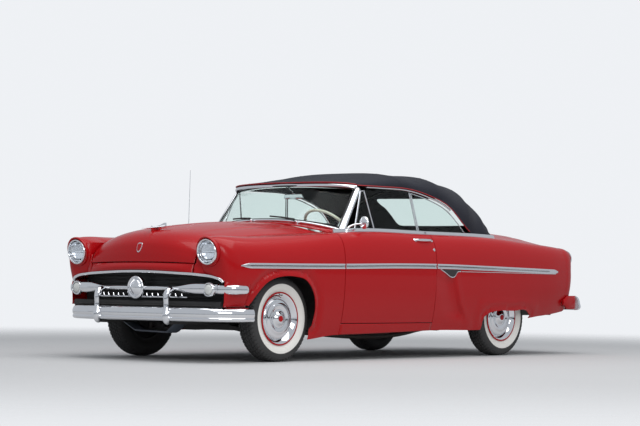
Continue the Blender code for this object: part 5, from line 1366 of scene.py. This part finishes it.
def top_points(u, v):
    """Arches: x goes as a power of |cos| and height as a power of the sine of the angle, v of a half
    turn. The powers are the last two columns of the table: squared in front, round at the back."""
    u, v = np.broadcast_arrays(np.asarray(u, float), np.asarray(v, float))
    numbered = np.column_stack([np.linspace(0, 1, len(TOP)), TOP])
    base_x, base_y, base_z, crown_y, crown_z, x_power, z_power = np.moveaxis(smooth(numbered, u), -1, 0)
    turn = np.pi * v
    over = np.abs(np.cos(turn)) ** x_power * np.sign(np.cos(turn))
    up = np.clip(np.sin(turn), 0, 1) ** z_power
    return np.stack([base_x * over, base_y + (crown_y - base_y) * up ** 1.3,
        base_z + (crown_z - base_z) * up], axis=-1)


def grid_normals(grid, inside):
    """Unit normals of a grid from the cross product of its two slopes, turned away from a point."""
    normal = unit(np.cross(np.gradient(grid, axis=0), np.gradient(grid, axis=1)))
    side = np.sign(np.sum(normal * (grid - np.asarray(inside)), axis=-1, keepdims=True))
    return normal * side


def sagged_top(u, v):
    grid = top_points(u[:, None], v[None])
    normal = grid_normals(grid, CABIN)
    i = np.clip(np.searchsorted(BOWS, u, side="right") - 1, 0, len(BOWS) - 2)
    share = (u - BOWS[i]) / (BOWS[i + 1] - BOWS[i])
    up = np.clip(np.sin(np.pi * v), 0, 1) ** .6
    between = np.sin(np.pi * share) ** 1.15
    lift = (.004 - .017 * between)[:, None] * up[None]
    bow = (.0022 * np.exp(-((share * (1 - share)) / .01) ** 2))[:, None] * up[None]
    seam = .0022 * np.exp(-((np.abs(grid[..., 0]) - .43) / .0065) ** 2)
    corner = ease(.5, .72, u)[:, None] * np.exp(-((np.abs(v - .5) - .34) / .1) ** 2)[None]
    pull = .0022 * np.sin(46 * u[:, None] + 38 * np.abs(v - .5)[None]) * corner
    hem = .0018 * np.exp(-((np.minimum(v, 1 - v)) / .006) ** 2)[None] * np.ones_like(u)[:, None]
    lift = (lift + bow + seam + pull) * ease(0, .03, np.minimum(v, 1 - v))[None] + hem
    return grid + normal * lift[..., None]


def on_cloth(outline):
    """The nearest point of the cloth, in x and z, to each point of a flat outline."""
    u, v = np.linspace(.55, 1, 360), np.linspace(.12, .88, 420)
    dense = sagged_top(u, v).reshape(-1, 3)
    gap = (dense[None, :, 0] - outline[:, None, 0]) ** 2 + (dense[None, :, 2] - outline[:, None, 1]) ** 2
    found = dense[np.argmin(gap, axis=1)]
    return (np.roll(found, 1, axis=0) + 2 * found + np.roll(found, -1, axis=0)) / 4


def make_top():
    u, v = np.linspace(0, 1, 221), np.linspace(0, 1, 161)
    grid = sagged_top(u, v)
    cloth = skin("top_canvas", grid, CLOTH, "shell", CABIN)
    wall = cloth.modifiers.new("wall", "SOLIDIFY")
    wall.thickness, wall.offset = .004, -1.0
    opening = rounded([(-.47, 1.168), (-.44, 1.152), (.44, 1.152), (.47, 1.168), (.5, 1.38), (.465, 1.404),
        (-.465, 1.404), (-.5, 1.38)])
    carve(cloth, [cutter(opening, "Y", .9, 1.75)])
    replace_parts(cloth, "soft_top")
    at_u = np.linspace(.56, .955, 40)
    at_v = np.linspace(.215, .785, 61)
    window = top_points(at_u[:, None], at_v[None])
    window = window - grid_normals(window, CABIN) * .0075
    piece = skin("back_window", window, GLAZING, "shell", CABIN, .0025)
    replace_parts(piece, "rear_window")
    rim = on_cloth(along_line(np.concatenate([opening, opening[:1]]), 150)[:-1])
    tube("window_binding", rim + [0, .001, .001], .005, CLOTH, "shell", 8, closed=True,
        outward=(0, 1, .2))
    s = np.linspace(0, .555, 90)
    for side, word in SIDES:
        edge = top_points(s, 0.0 * s) * [side, 1, 1]
        tube(f"top_piping_{word}", edge + [side * .0035, 0, .001], .0042, PIPING, "shell", 8)
        tube(f"top_rail_{word}", edge[8:74] + [-side * .01, 0, -.0105], .0085, CHROME,
            "shell", 10, squash=.7)
        foot = top_points(np.linspace(.6, 1.0, 60), np.zeros(60)) * [side, 1, 1]
        inner = top_points(np.ones(40), np.linspace(0, .5, 40)) * [side, 1, 1]
        strip = np.concatenate([foot[:-1] + [side * .006, .002, .0015], inner + [0, .006, .0005]])
        tube(f"top_foot_strip_{word}", along_line(strip, 140), .011, CHROME, "shell", 12, squash=.6)
    v = np.linspace(.012, .988, 90)
    front = top_points(0 * v, v)
    tube("header_piping", front + [0, -.003, .001], .0045, PIPING, "shell", 10, outward=AHEAD)
    band = top_points(0 * v, np.linspace(.03, .97, 90)) + [0, .002, -.0195]
    tube("header_band", band, .0185, CHROME, "shell", 16, outward=(0, .5, .86), squash=.42)
    for number, u_bow in enumerate(BOWS[1:-2]):
        v = np.linspace(.13, .87, 60)
        arch = top_points(0 * v + u_bow, v)
        arch = arch - unit(arch - [0, float(arch[30, 1]), .95]) * .02
        tube(f"top_bow_{number}", arch, .0105, BLACK, "shell", 10, outward=BACK, squash=.6)


make_top()

# %% [markdown]
# ## Wheels and tyres
# A tyre is a turned form whose tread is cut by grooves round it and by short cuts across it; both are
# dips in the radius, one a function of the place across and one of the angle. The white wall is a thin
# band on the outer side. The rim is dark, with a painted ring round the dished bright cap.

# %% Tyre, band, rim and cap
TYRE = [(-.06, .1975), (-.066, .213), (-.08, .24), (-.0858, .27), (-.0835, .292), (-.0765, .312),
    (-.069, .3245), (-.058, .3315), (-.03, .3348), (0, .3358), (.03, .3348), (.058, .3315), (.069, .3245),
    (.0765, .312), (.0835, .292), (.0858, .27), (.08, .24), (.066, .213), (.06, .1975)]
RIM = [(-.014, .03), (-.014, .055), (-.05, .06), (-.058, .14), (-.006, .142), (-.03, .184), (-.064, .19),
    (-.066, .206), (-.06, .1965), (0, .1955), (.06, .1965), (.0665, .2085), (.0735, .2065), (.0705, .196),
    (.06, .176), (.044, .16), (.036, .15), (.03, .03)]
CAP = [(.0385, .16), (.048, .1575), (.053, .15), (.0555, .142), (.056, .134), (.0585, .124), (.064, .112),
    (.065, .1), (.061, .088), (.058, .076), (.059, .064), (.065, .052), (.072, .043), (.078, .033),
    (.08, .02), (.0805, 0), (.03, 0), (.03, .15)]


GROOVES, CUTS_ROUND, TREAD_DEPTH = (-.04, -.0135, .0135, .04), 60, .0095


def tread_radius(across, radius, turn):
    """Four zigzag grooves round the tread, slanting cuts and blocks at the shoulders: all are
    subtracted from the radius."""
    face = 1 - ease(.052, .062, np.abs(across))
    grooves = np.zeros_like(across)
    zigzag = .0042 * (2 / np.pi) * np.arcsin(np.sin(CUTS_ROUND * turn))
    for place in GROOVES:
        grooves = np.maximum(grooves, 1 - ease(.0022, .004, np.abs(across - place - zigzag)))
    cuts = (np.sin(CUTS_ROUND * turn + 90 * across) > .8) * face * .6
    edge = ease(.05, .056, np.abs(across)) * (1 - ease(.072, .076, np.abs(across)))
    blocks = (np.sin(CUTS_ROUND * turn) > .45) * edge * .8
    return radius - TREAD_DEPTH * np.maximum(np.maximum(grooves * face, cuts), blocks)


def make_wheel(place, side, word, track, y, body):
    centre = np.array([side * track / 2, y, AXLE_Z])
    profile = along_line(TYRE, 74)
    tread = np.linspace(-.0755, .0755, 73)
    table = np.array([row for row in TYRE if row[1] > .305])
    profile = np.concatenate([profile[(profile[:, 1] < .314) & (profile[:, 0] < 0)],
        np.column_stack([tread, np.interp(tread, table[:, 0], table[:, 1])]),
        profile[(profile[:, 1] < .314) & (profile[:, 0] > 0)]])
    turn = full_turn(9 * CUTS_ROUND)
    across, radius = profile[:, :1] + 0 * turn, profile[:, 1:] + 0 * turn
    radius = np.where(radius > .3, tread_radius(across, radius, turn[None] + 0 * radius), radius)
    grid = as_grid(centre[0] + side * across, centre[1] + radius * np.cos(turn),
        centre[2] + radius * np.sin(turn))
    grid = np.concatenate([grid, grid[:1]])
    piece = skin(f"tyre_rubber_{place}_{word}", grid, RUBBER, body, wrap=True, sharp=50)
    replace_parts(piece, f"tyre_{place}_{word}")
    outer = profile[(profile[:, 0] > .05) & (profile[:, 1] < .2735) & (profile[:, 1] > .2045)][::-1]
    outer = outer + np.column_stack([np.full(len(outer), .0006), np.zeros(len(outer))])
    step = [(outer[0, 0] - .003, outer[0, 1])], [(outer[-1, 0] - .003, outer[-1, 1])]
    band = np.concatenate([step[0], outer, step[1], step[0]])
    turned(f"white_wall_{place}_{word}", band, centre, (side, 0, 0), 96, WHITEWALL, body, sharp=60)
    # The rim, its inner face too, takes the dark chassis finish; only the ring round the cap is red.
    rim = RIM + RIM[:1]
    piece = turned(f"rim_{place}_{word}", rim, centre, (side, 0, 0), 96, BLACK, body)
    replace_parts(piece, f"wheel_{place}_{word}")
    cone = [(.0733, .1968), (.069, .187), (.059, .173), (.0485, .161), (.0415, .1545), (.037, .156),
        (.05, .176), (.066, .1968), (.0733, .1968)]
    turned(f"bright_cone_{place}_{word}", cone, centre, (side, 0, 0), 96, CHROME, body, sharp=60)
    cap = along_line(CAP[:15], 60)
    cap = np.concatenate([cap, CAP[15:], cap[:1]])
    turned(f"hub_cap_{place}_{word}", cap, centre, (side, 0, 0), 96, CHROME, body, sharp=50)
    trim = [(.069, .1955), (.0735, .1975), (.0752, .2035), (.0738, .2085), (.069, .21),
        (.066, .206), (.069, .1955)]
    turned(f"trim_ring_{place}_{word}", trim, centre, (side, 0, 0), 96, PAINT, body)
    badge = [(.0795, .024), (.083, .0235), (.084, .02), (.0835, .016), (.0848, .008), (.0852, 0), (.078, 0),
        (.078, .024), (.0795, .024)]
    turned(f"cap_centre_{place}_{word}", badge, centre, (side, 0, 0), 48, PAINT, body)
    valve = [(.06, 0), (.06, .004), (.082, .0035), (.086, .0045), (.094, .0045), (.095, 0)]
    turned(f"valve_{place}_{word}", valve, centre + [0, 0, .1835], (side, 0, 0), 10, SEAL, body)


for place, track, y in (("front", FRONT_TRACK, FRONT_AXLE_Y), ("rear", REAR_TRACK, REAR_AXLE_Y)):
    for side, word in SIDES:
        make_wheel(place, side, word, track, y, f"wheel_{place}_{word}")
print("four wheels, tyre radius", round(TYRE_RADIUS, 3))

# %% [markdown]
# ## Inside
# Behind the glass there are two bench seats with sewn channels, a painted dash with one round dial, a
# thin ivory wheel and lined doors. A bench is a cushion section carried across the car; its
# channels are a wave in the section's size, and cloth under pressure then rounds them.

# %% Padded benches
def bench_grid(outline, half, pitch, depth=.007, rows=150):
    """A rounded side outline carried across x. Its size falls to the ends by a high power, and
    between channels it stands out by the power of a sine."""
    outline = along_line(np.concatenate([rounded(outline), rounded(outline)[:1]]), 97)[:-1]
    middle = outline.mean(axis=0)
    x = half * np.sin(np.linspace(-np.pi / 2, np.pi / 2, rows))
    ends = (1 - np.abs(x / half) ** 14) ** .35
    puff = depth * np.abs(np.sin(np.pi * x / pitch)) ** .55 * ends
    away = unit(outline - middle)
    shape = (middle + (outline - middle)[None] * (.9 + .1 * ends)[:, None, None]
        + away[None] * (puff - depth)[:, None, None])
    shape[0] = middle + (outline - middle) * .86
    shape[-1] = shape[0]
    return np.concatenate([np.broadcast_to(x[:, None, None], (*shape.shape[:2], 1)), shape], axis=-1)


PRESSURE, CLOTH_FRAMES = 4.0, 12


def swell_by_cloth(piece, voxel=.012, limit=.01):
    """Remesh, fill with pressure for some frames, cap how far a point moves, keep the result."""
    scene = bpy.context.scene
    remesh = piece.modifiers.new("even", "REMESH")
    remesh.mode = "VOXEL"
    remesh.voxel_size = voxel
    graph = bpy.context.evaluated_depsgraph_get()
    graph.update()
    mesh = bpy.data.meshes.new_from_object(piece.evaluated_get(graph))
    finish_used = piece.data.materials[0]
    piece.modifiers.clear()
    piece.data = mesh
    rest = np.empty(len(mesh.vertices) * 3)
    mesh.vertices.foreach_get("co", rest)
    cloth = piece.modifiers.new("cloth", "CLOTH")
    cloth.settings.use_pressure = True
    cloth.settings.uniform_pressure_force = PRESSURE
    cloth.settings.effector_weights.gravity = 0.0
    cloth.settings.quality = 4
    for number in range(1, CLOTH_FRAMES + 1):
        scene.frame_set(number)
    graph = bpy.context.evaluated_depsgraph_get()
    swollen = bpy.data.meshes.new_from_object(piece.evaluated_get(graph))
    moved = np.empty(len(swollen.vertices) * 3)
    swollen.vertices.foreach_get("co", moved)
    rest, moved = rest.reshape(-1, 3), moved.reshape(-1, 3)
    step = moved - rest
    size = np.linalg.norm(step, axis=1, keepdims=True)
    moved = rest + step * np.minimum(1.0, limit / np.maximum(size, 1e-9))
    swollen.vertices.foreach_set("co", moved.ravel())
    piece.modifiers.clear()
    scene.frame_set(1)
    piece.data = swollen
    swollen.materials.clear()
    swollen.materials.append(finish_used)
    swollen.shade_smooth()


def make_benches():
    front_cushion = [(-.42, .5), (-.42, .64), (-.36, .682), (-.05, .672), (.04, .64), (.06, .5)]
    front_back = [(.02, .62), (.095, .6), (.155, .585), (.262, .93), (.25, .982), (.19, .986), (.15, .95)]
    rear_cushion = [(.552, .488), (.552, .612), (.6, .655), (.9, .64), (.96, .6), (.96, .572),
        (.8, .572), (.77, .488)]
    rear_back = [(.935, .64), (1.0, .572), (1.076, .572), (1.145, .9), (1.128, .94),
        (1.07, .945), (1.012, .9)]
    for name, outline, half, node in (("front_cushion", front_cushion, .636, "front_seat"),
            ("front_backrest", front_back, .636, "front_seat"), ("rear_cushion", rear_cushion, .578,
            "rear_seat"), ("rear_backrest", rear_back, .578, "rear_seat")):
        piece = solid(name, bench_grid(outline, half, .106), VINYL, sharp=80)
        swell_by_cloth(piece)
        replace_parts(piece, node)
    for side, word in SIDES:
        for name, outline, half in (("front_cushion", front_cushion, .6295),
                ("front_backrest", front_back, .6295)):
            loop = rounded(outline)
            middle = loop.mean(axis=0)
            loop = middle + (loop - middle) * .955
            path = np.column_stack([np.full(len(loop), side * half), loop])
            tube(f"{name}_welt_{word}", path, .0045, RED_VINYL, "shell", 8, closed=True, outward=ACROSS)
    riser = [(-.37, .4126), (-.372, .498), (.028, .498), (.03, .4126)]
    grid = np.stack([np.column_stack([np.full(8, x), rounded(riser)[:16:2]])
        for x in np.linspace(-.56, .56, 9)])
    solid("seat_riser", grid, BLACK)
    print("benches stuffed")


make_benches()

# %% Dash, wheel, linings and carpet
WHEEL_CENTRE = np.array([.4, -.665, 1.075])
COLUMN = unit(WHEEL_CENTRE - np.array([.4, -1.02, .7]))


def make_cabin():
    profile = along_line([(-1.0435, .81), (-1.0435, .9), (-1.0435, .995), (-.99, 1.0095), (-.88, 1.008),
        (-.823, .996), (-.803, .968), (-.806, .925), (-.828, .865), (-.87, .815), (-.93, .801),
        (-1.02, .802)], 70)
    x = np.linspace(-.69, .69, 60)
    grid = np.stack([np.column_stack([np.full(70, a), profile]) for a in x])
    piece = solid("dash_panel", grid, PAINT)
    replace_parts(piece, "dashboard")
    place = np.array([.4, -.806, .925])
    ring = [(-.03, .094), (.004, .094), (.01, .09), (.011, .085), (.006, .081), (-.004, .08),
        (-.03, .08), (-.03, .094)]
    turned("dial_ring", ring, place, (0, 1, .12), 64, CHROME)
    face = [(-.03, 0), (-.03, .08), (-.002, .08), (.0, .06), (.001, .03), (.002, 0)]
    turned("dial_face", face, place, (0, 1, .12), 48, IVORY)
    for number in range(9):
        a = math.radians(-30 + 30 * number)
        ends = [place + [r * math.cos(a), .0025, r * math.sin(a)] for r in (.056, .074)]
        tube(f"dial_mark_{number}", along_line(ends, 3), .0018, SEAL, "shell", 6, outward=BACK)
    tube("dial_pointer", along_line([place + [0, .006, 0], place + [-.03, .006, .048]], 4),
        [.003, .0025, .002, .0012], PIPING, "shell", 6, outward=BACK)
    xs = np.linspace(-.6, .1, 30)
    for number, z in enumerate((.945, .93, .915)):
        path = np.column_stack([xs, np.full(30, -.8025 + .001 * number), np.full(30, z)])
        tube(f"dash_strip_{number}", path, .004, CHROME, "shell", 8, outward=BACK)
    for number, a in enumerate((.175, .215, .585, .625)):
        knob = [(-.02, 0), (-.02, .006), (.004, .007), (.008, .012), (.018, .012), (.021, .009), (.021, 0)]
        turned(f"dash_knob_{number}", knob, (a, -.808, .9), BACK, 20, IVORY)
    tube("steering_column", along_line([WHEEL_CENTRE - COLUMN * .48, WHEEL_CENTRE - COLUMN * .046], 20),
        .0235, PAINT, "shell", 20, outward=ACROSS)
    stalk = along_line([WHEEL_CENTRE - COLUMN * .075, WHEEL_CENTRE - COLUMN * .07 + [-.09, 0, .02],
        WHEEL_CENTRE - COLUMN * .055 + [-.16, 0, .035]], 16)
    tube("gear_stalk", stalk, .005, CHROME, "shell", 8, outward=(0, 0, 1))

    level = unit(np.cross([1, 0, 0], COLUMN))
    turn = full_turn(128)
    ring = WHEEL_CENTRE + .205 * (np.cos(turn)[:, None] * np.array([1.0, 0, 0])
        + np.sin(turn)[:, None] * level)
    piece = tube("wheel_rim", ring, .0125, IVORY, "steering_wheel", 14, closed=True, outward=COLUMN)
    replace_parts(piece, "steering_wheel")
    turn = np.linspace(math.radians(200), math.radians(340), 50)
    horn = WHEEL_CENTRE + .12 * (np.cos(turn)[:, None] * np.array([1.0, 0, 0])
        + np.sin(turn)[:, None] * level)
    tube("horn_ring", horn + COLUMN * .008, .0045, CHROME, "steering_wheel", 10, outward=COLUMN)
    for number, a in enumerate((.1, math.pi - .1, 1.5 * math.pi)):
        arm = np.array([math.cos(a), 0, 0]) + level * math.sin(a)
        line = along_line([WHEEL_CENTRE + arm * .03 + COLUMN * .004, WHEEL_CENTRE + arm * .12
            - COLUMN * .002, WHEEL_CENTRE + arm * .203], 16)
        tube(f"wheel_spoke_{number}", line, np.linspace(.0085, .006, 16), IVORY, "steering_wheel",
            10, outward=COLUMN)
    hub = [(-.044, 0), (-.044, .028), (-.02, .038), (0, .044), (.012, .043), (.02, .036),
        (.0265, .02), (.028, 0)]
    turned("wheel_hub", hub, WHEEL_CENTRE, COLUMN, 48, CHROME, "steering_wheel")

    for side, word in SIDES:
        y = np.linspace(-.985, .06, 120)[None]
        z = np.linspace(.44, 1.005, 50)[:, None]
        pleat = .0016 * np.abs(np.sin(np.pi * y / .085)) ** .5 * ease(.5, .53, z) * (1 - ease(.86, .89, z))
        x = DOOR_INNER_X - .0022 - pleat
        grid = as_grid(side * x, y, z)
        skin(f"door_lining_{word}", grid, VINYL, f"door_{word}", (side * .9, -.4, .7), .0018)
        line = along_line([(.742, -.5, .8), (.722, -.47, .806), (.716, -.36, .81), (.722, -.25, .806),
            (.742, -.22, .8)], 30)
        tube(f"door_pull_{word}", mirror(line, side), .0085, RED_VINYL, f"door_{word}", 10,
            outward=(0, 0, 1))
        for number, (y0, z0, dy) in enumerate(((-.62, .72, .075), (-.78, .86, .085))):
            knob = [(-.006, 0), (-.006, .015), (.01, .013), (.016, .008), (.017, 0)]
            turned(f"door_boss_{number}_{word}", knob, (side * .741, y0, z0), (-side, 0, 0), 20,
                CHROME, f"door_{word}")
            path = along_line([(side * .73, y0, z0), (side * .724, y0 + dy * .5, z0 - .01),
                (side * .722, y0 + dy, z0 - .03)], 12)
            tube(f"door_crank_{number}_{word}", path, np.linspace(.006, .0045, 12), CHROME,
                f"door_{word}", 10)
    x = np.linspace(-.7, .7, 40)[None]
    y = np.linspace(-.89, .5, 60)[:, None]
    grid = as_grid(x, y, .416)
    inside = (np.abs(grid[1:, 1:, 0]) < .575) & (grid[1:, 1:, 1] > -.39) & (grid[1:, 1:, 1] < .07)
    outside = (np.abs(grid[1:, 1:, 0]) > .56) & (grid[1:, 1:, 1] > .27)
    skin("floor_carpet", grid, CARPET, "shell", (0, 0, 0), .003, keep=~inside & ~outside)
    print("cabin trimmed")


make_cabin()

# %% [markdown]
# ## Small bright pieces
# The ornament, a bare crest, the mirror, the mast and the rear fittings are cast or turned, each on
# the panel that carries it, so that they travel with the hood, the lid or the door.

# %% Ornament, crest, mirror, mast, rear fittings
def make_fittings():
    rows = [(-2.402, 1.027, .002, .002), (-2.37, 1.029, .005, .004), (-2.32, 1.032, .008, .006),
        (-2.26, 1.037, .009, .007), (-2.2, 1.043, .008, .0075), (-2.15, 1.05, .0045, .0075),
        (-2.136, 1.053, .002, .005)]
    numbered = [(i, *row) for i, row in enumerate(rows)]
    y, z, w, h = smooth(numbered, np.linspace(0, len(rows) - 1, 50)).T[..., None]
    turn = full_turn(20)
    grid = as_grid(w * np.cos(turn), y, z + h * np.sin(turn))
    solid("ornament_body", grid, CHROME, "hood")
    share = np.linspace(-1, 1, 81)
    wing_y = -2.262 + .075 * np.abs(share) ** 1.2
    wing_z = 1.034 + .018 * np.abs(share) ** 1.4
    chord = .024 * (1 - .86 * np.abs(share) ** 1.8)
    grid = np.stack([np.broadcast_to(.115 * share[:, None], (81, 20)),
        wing_y[:, None] + chord[:, None] * np.cos(turn), wing_z[:, None]
        + .003 * np.sin(turn) * (1 - .5 * np.abs(share))[:, None]], axis=-1)
    solid("ornament_wings", grid, CHROME, "hood")
    y = np.linspace(-2.23, -2.137, 24)
    top = 1.052 + .024 * ease(-2.225, -2.15, y)
    grid = np.stack([np.column_stack([a * np.ones(24) * .0028, y, b]) for a, b in ((1, 0 * y + 1.05),
        (.5, top), (-.5, top), (-1, 0 * y + 1.05))], axis=1)
    solid("ornament_fin", grid, CHROME, "hood")
    y = np.linspace(-2.3, -2.195, 20)
    lower = np.interp(y, [-2.33, -2.2], [.989, 1.0275]) - .003
    half = .0085 * np.sin(np.pi * np.linspace(.06, .94, 20)) ** .5
    grid = np.stack([np.column_stack([half, y, lower]), np.column_stack([half * .7, y, 0 * y + 1.036]),
        np.column_stack([-half * .7, y, 0 * y + 1.036]), np.column_stack([-half, y, lower])], axis=1)
    solid("ornament_foot", grid, PAINT, "hood")

    shield = rounded([(-.027, .04), (0, .044), (.027, .04), (.029, .005), (.019, -.028), (0, -.044),
        (-.019, -.028), (-.029, .005)])
    lean = unit(np.array([0, -.94, .34]))
    up = unit(np.array([0, .34, .94]))
    for name, size, depth, finish_used in (("crest_rim", 1.0, .01, CHROME),
            ("crest_field", .8, .0125, PAINT)):
        rows = [(size, -.012), (size, depth - .004), (size * .96, depth - .001), (size * .8, depth),
            (.02, depth + .001)]
        grid = np.stack([np.array([0, -2.42, .872]) + shield[:, :1] * k * np.array([1.0, 0, 0])
            + shield[:, 1:] * k * up + lean * d for k, d in rows])
        solid(name, grid, finish_used, "hood")

    place, axis = np.array([.86, -.742, 1.112]), (.15, 1.0, 0.0)
    head = along_line([(-.02, .001), (-.018, .02), (-.012, .038), (-.003, .0495), (.004, .0525),
        (.0075, .0515)], 24)
    head = np.concatenate([head, [(.007, .048), (.0045, .0475), (.0045, 0)]])
    turned("mirror_cup", head, place, axis, 56, CHROME, "door_left")
    line = along_line([(.79, -.866, 1.034), (.793, -.862, 1.064), (.815, -.826, 1.09),
        (.852, -.762, 1.103)], 30)
    tube("mirror_arm", line, np.linspace(.0085, .0062, 30), CHROME, "door_left", 12)
    foot = rounded([(.772, -.894), (.772, -.832), (.808, -.832), (.808, -.894)])
    rows = [(1.02, 1.02), (1.0, 1.04), (.92, 1.046), (.55, 1.0485), (.3, 1.056), (.26, 1.062)]
    solid("mirror_foot", shrunk(foot, rows, axis=2), CHROME, "door_left")

    foot = [(0, 0), (0, .018), (.004, .0175), (.012, .013), (.02, .0075), (.032, .0055), (.034, 0)]
    turned("mast_foot", foot, (-.735, -1.15, 1.006), (0, 0, 1), 24, CHROME)
    z = np.linspace(1.034, 1.5585, 12)
    tube("mast", np.column_stack([0 * z - .735, -1.15 + .024 * (z - 1.034), z]),
        np.linspace(.0028, .0018, 12), CHROME, "shell", 8, outward=ACROSS)
    ball = [(-.003, 0), (-.0025, .0022), (0, .0032), (.0025, .0022), (.003, 0)]
    turned("mast_tip", ball, (-.735, -1.1374, 1.5592), (0, 0, 1), 14, CHROME)

    grip = along_line([(-.055, 2.331, .7), (-.045, 2.349, .702), (0, 2.352, .703), (.045, 2.349, .702),
        (.055, 2.331, .7)], 30)
    tube("lid_handle", grip, .0068, CHROME, "deck_lid", 12, outward=BACK)
    lock = [(-.012, 0), (-.012, .015), (.003, .015), (.005, .011), (.004, 0)]
    turned("lid_lock", lock, (0, 2.341, .665), BACK, 28, CHROME, "deck_lid")
    plate = rounded([(-.152, .481), (.152, .481), (.152, .631), (-.152, .631)], .12)
    for name, size, y, finish_used in (("plate_frame", 1.0, 2.3525, CHROME),
            ("plate_blank", .955, 2.3555, PLATE)):
        rows = [(size, y - .003), (size, y + .001), (size * .99, y + .002), (size * .5, y + .002)]
        solid(name, shrunk(plate, rows), finish_used)
    print("ornament, crest, mirror, mast, handle and a blank plate")


make_fittings()

# %% [markdown]
# ## Underneath
# What is under the car keeps its imported shapes, with painted rails and axle and a cast engine. Only the
# exhaust is drawn again, with a round muffler, and a shield hangs under the nose.

# %% Finishes of the imported nodes, exhaust and shield
for names, used in ((("chassis_frame", "rear_axle", "fuel_tank", "floor_pan", "engine_bay"), BLACK),
        (("engine_block", "knuckle_left", "knuckle_right"), IRON)):
    for name in names:
        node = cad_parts[name]
        node.data.materials.clear()
        node.data.materials.append(used)

pipe = along_line([(.3, -1.3, .42), (.3, -1.26, .3), (.3, -1.18, .235), (.3, -.9, .2135), (.3, .62, .2135),
    (.3, .8, .25), (.3, .98, .455), (.3, 1.5, .455), (.345, 1.7, .425), (.4, 1.95, .405),
    (.4, 2.24, .398)], 160)
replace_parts(tube("exhaust_pipe", pipe, .0205, IRON, "shell", 16), "exhaust")
muffler = [(0, 0), (.0, .03), (.01, .048), (.03, .056), (.04, .0585), (.05, .056), (.5, .056), (.51, .0585),
    (.52, .056), (.54, .048), (.55, .03), (.55, 0)]
turned("muffler", muffler, (.3, -.3, .232), BACK, 40, IRON)
# A blue-grey sheet hangs under the nose, darker than the body.
x = np.linspace(-.364, .275, 40)
low_edge = np.interp(x, [-.364, -.213, .145, .275], [.296, .221, .214, .31])
y = np.array([-2.262, -2.25, -2.15, -2.12])[None]
grid = as_grid(x[:, None], y, low_edge[:, None] + np.array([.012, 0, 0, .01])[None])
shield_blue_grey = finish("shield blue grey", (.085, .1, .125), (.06, .07, .09), .4, .6, 9.0, 160,
    .0003, "frame_paint")
skin("lower_shield", grid, shield_blue_grey, "shell", (0, -2.2, .5), .003)
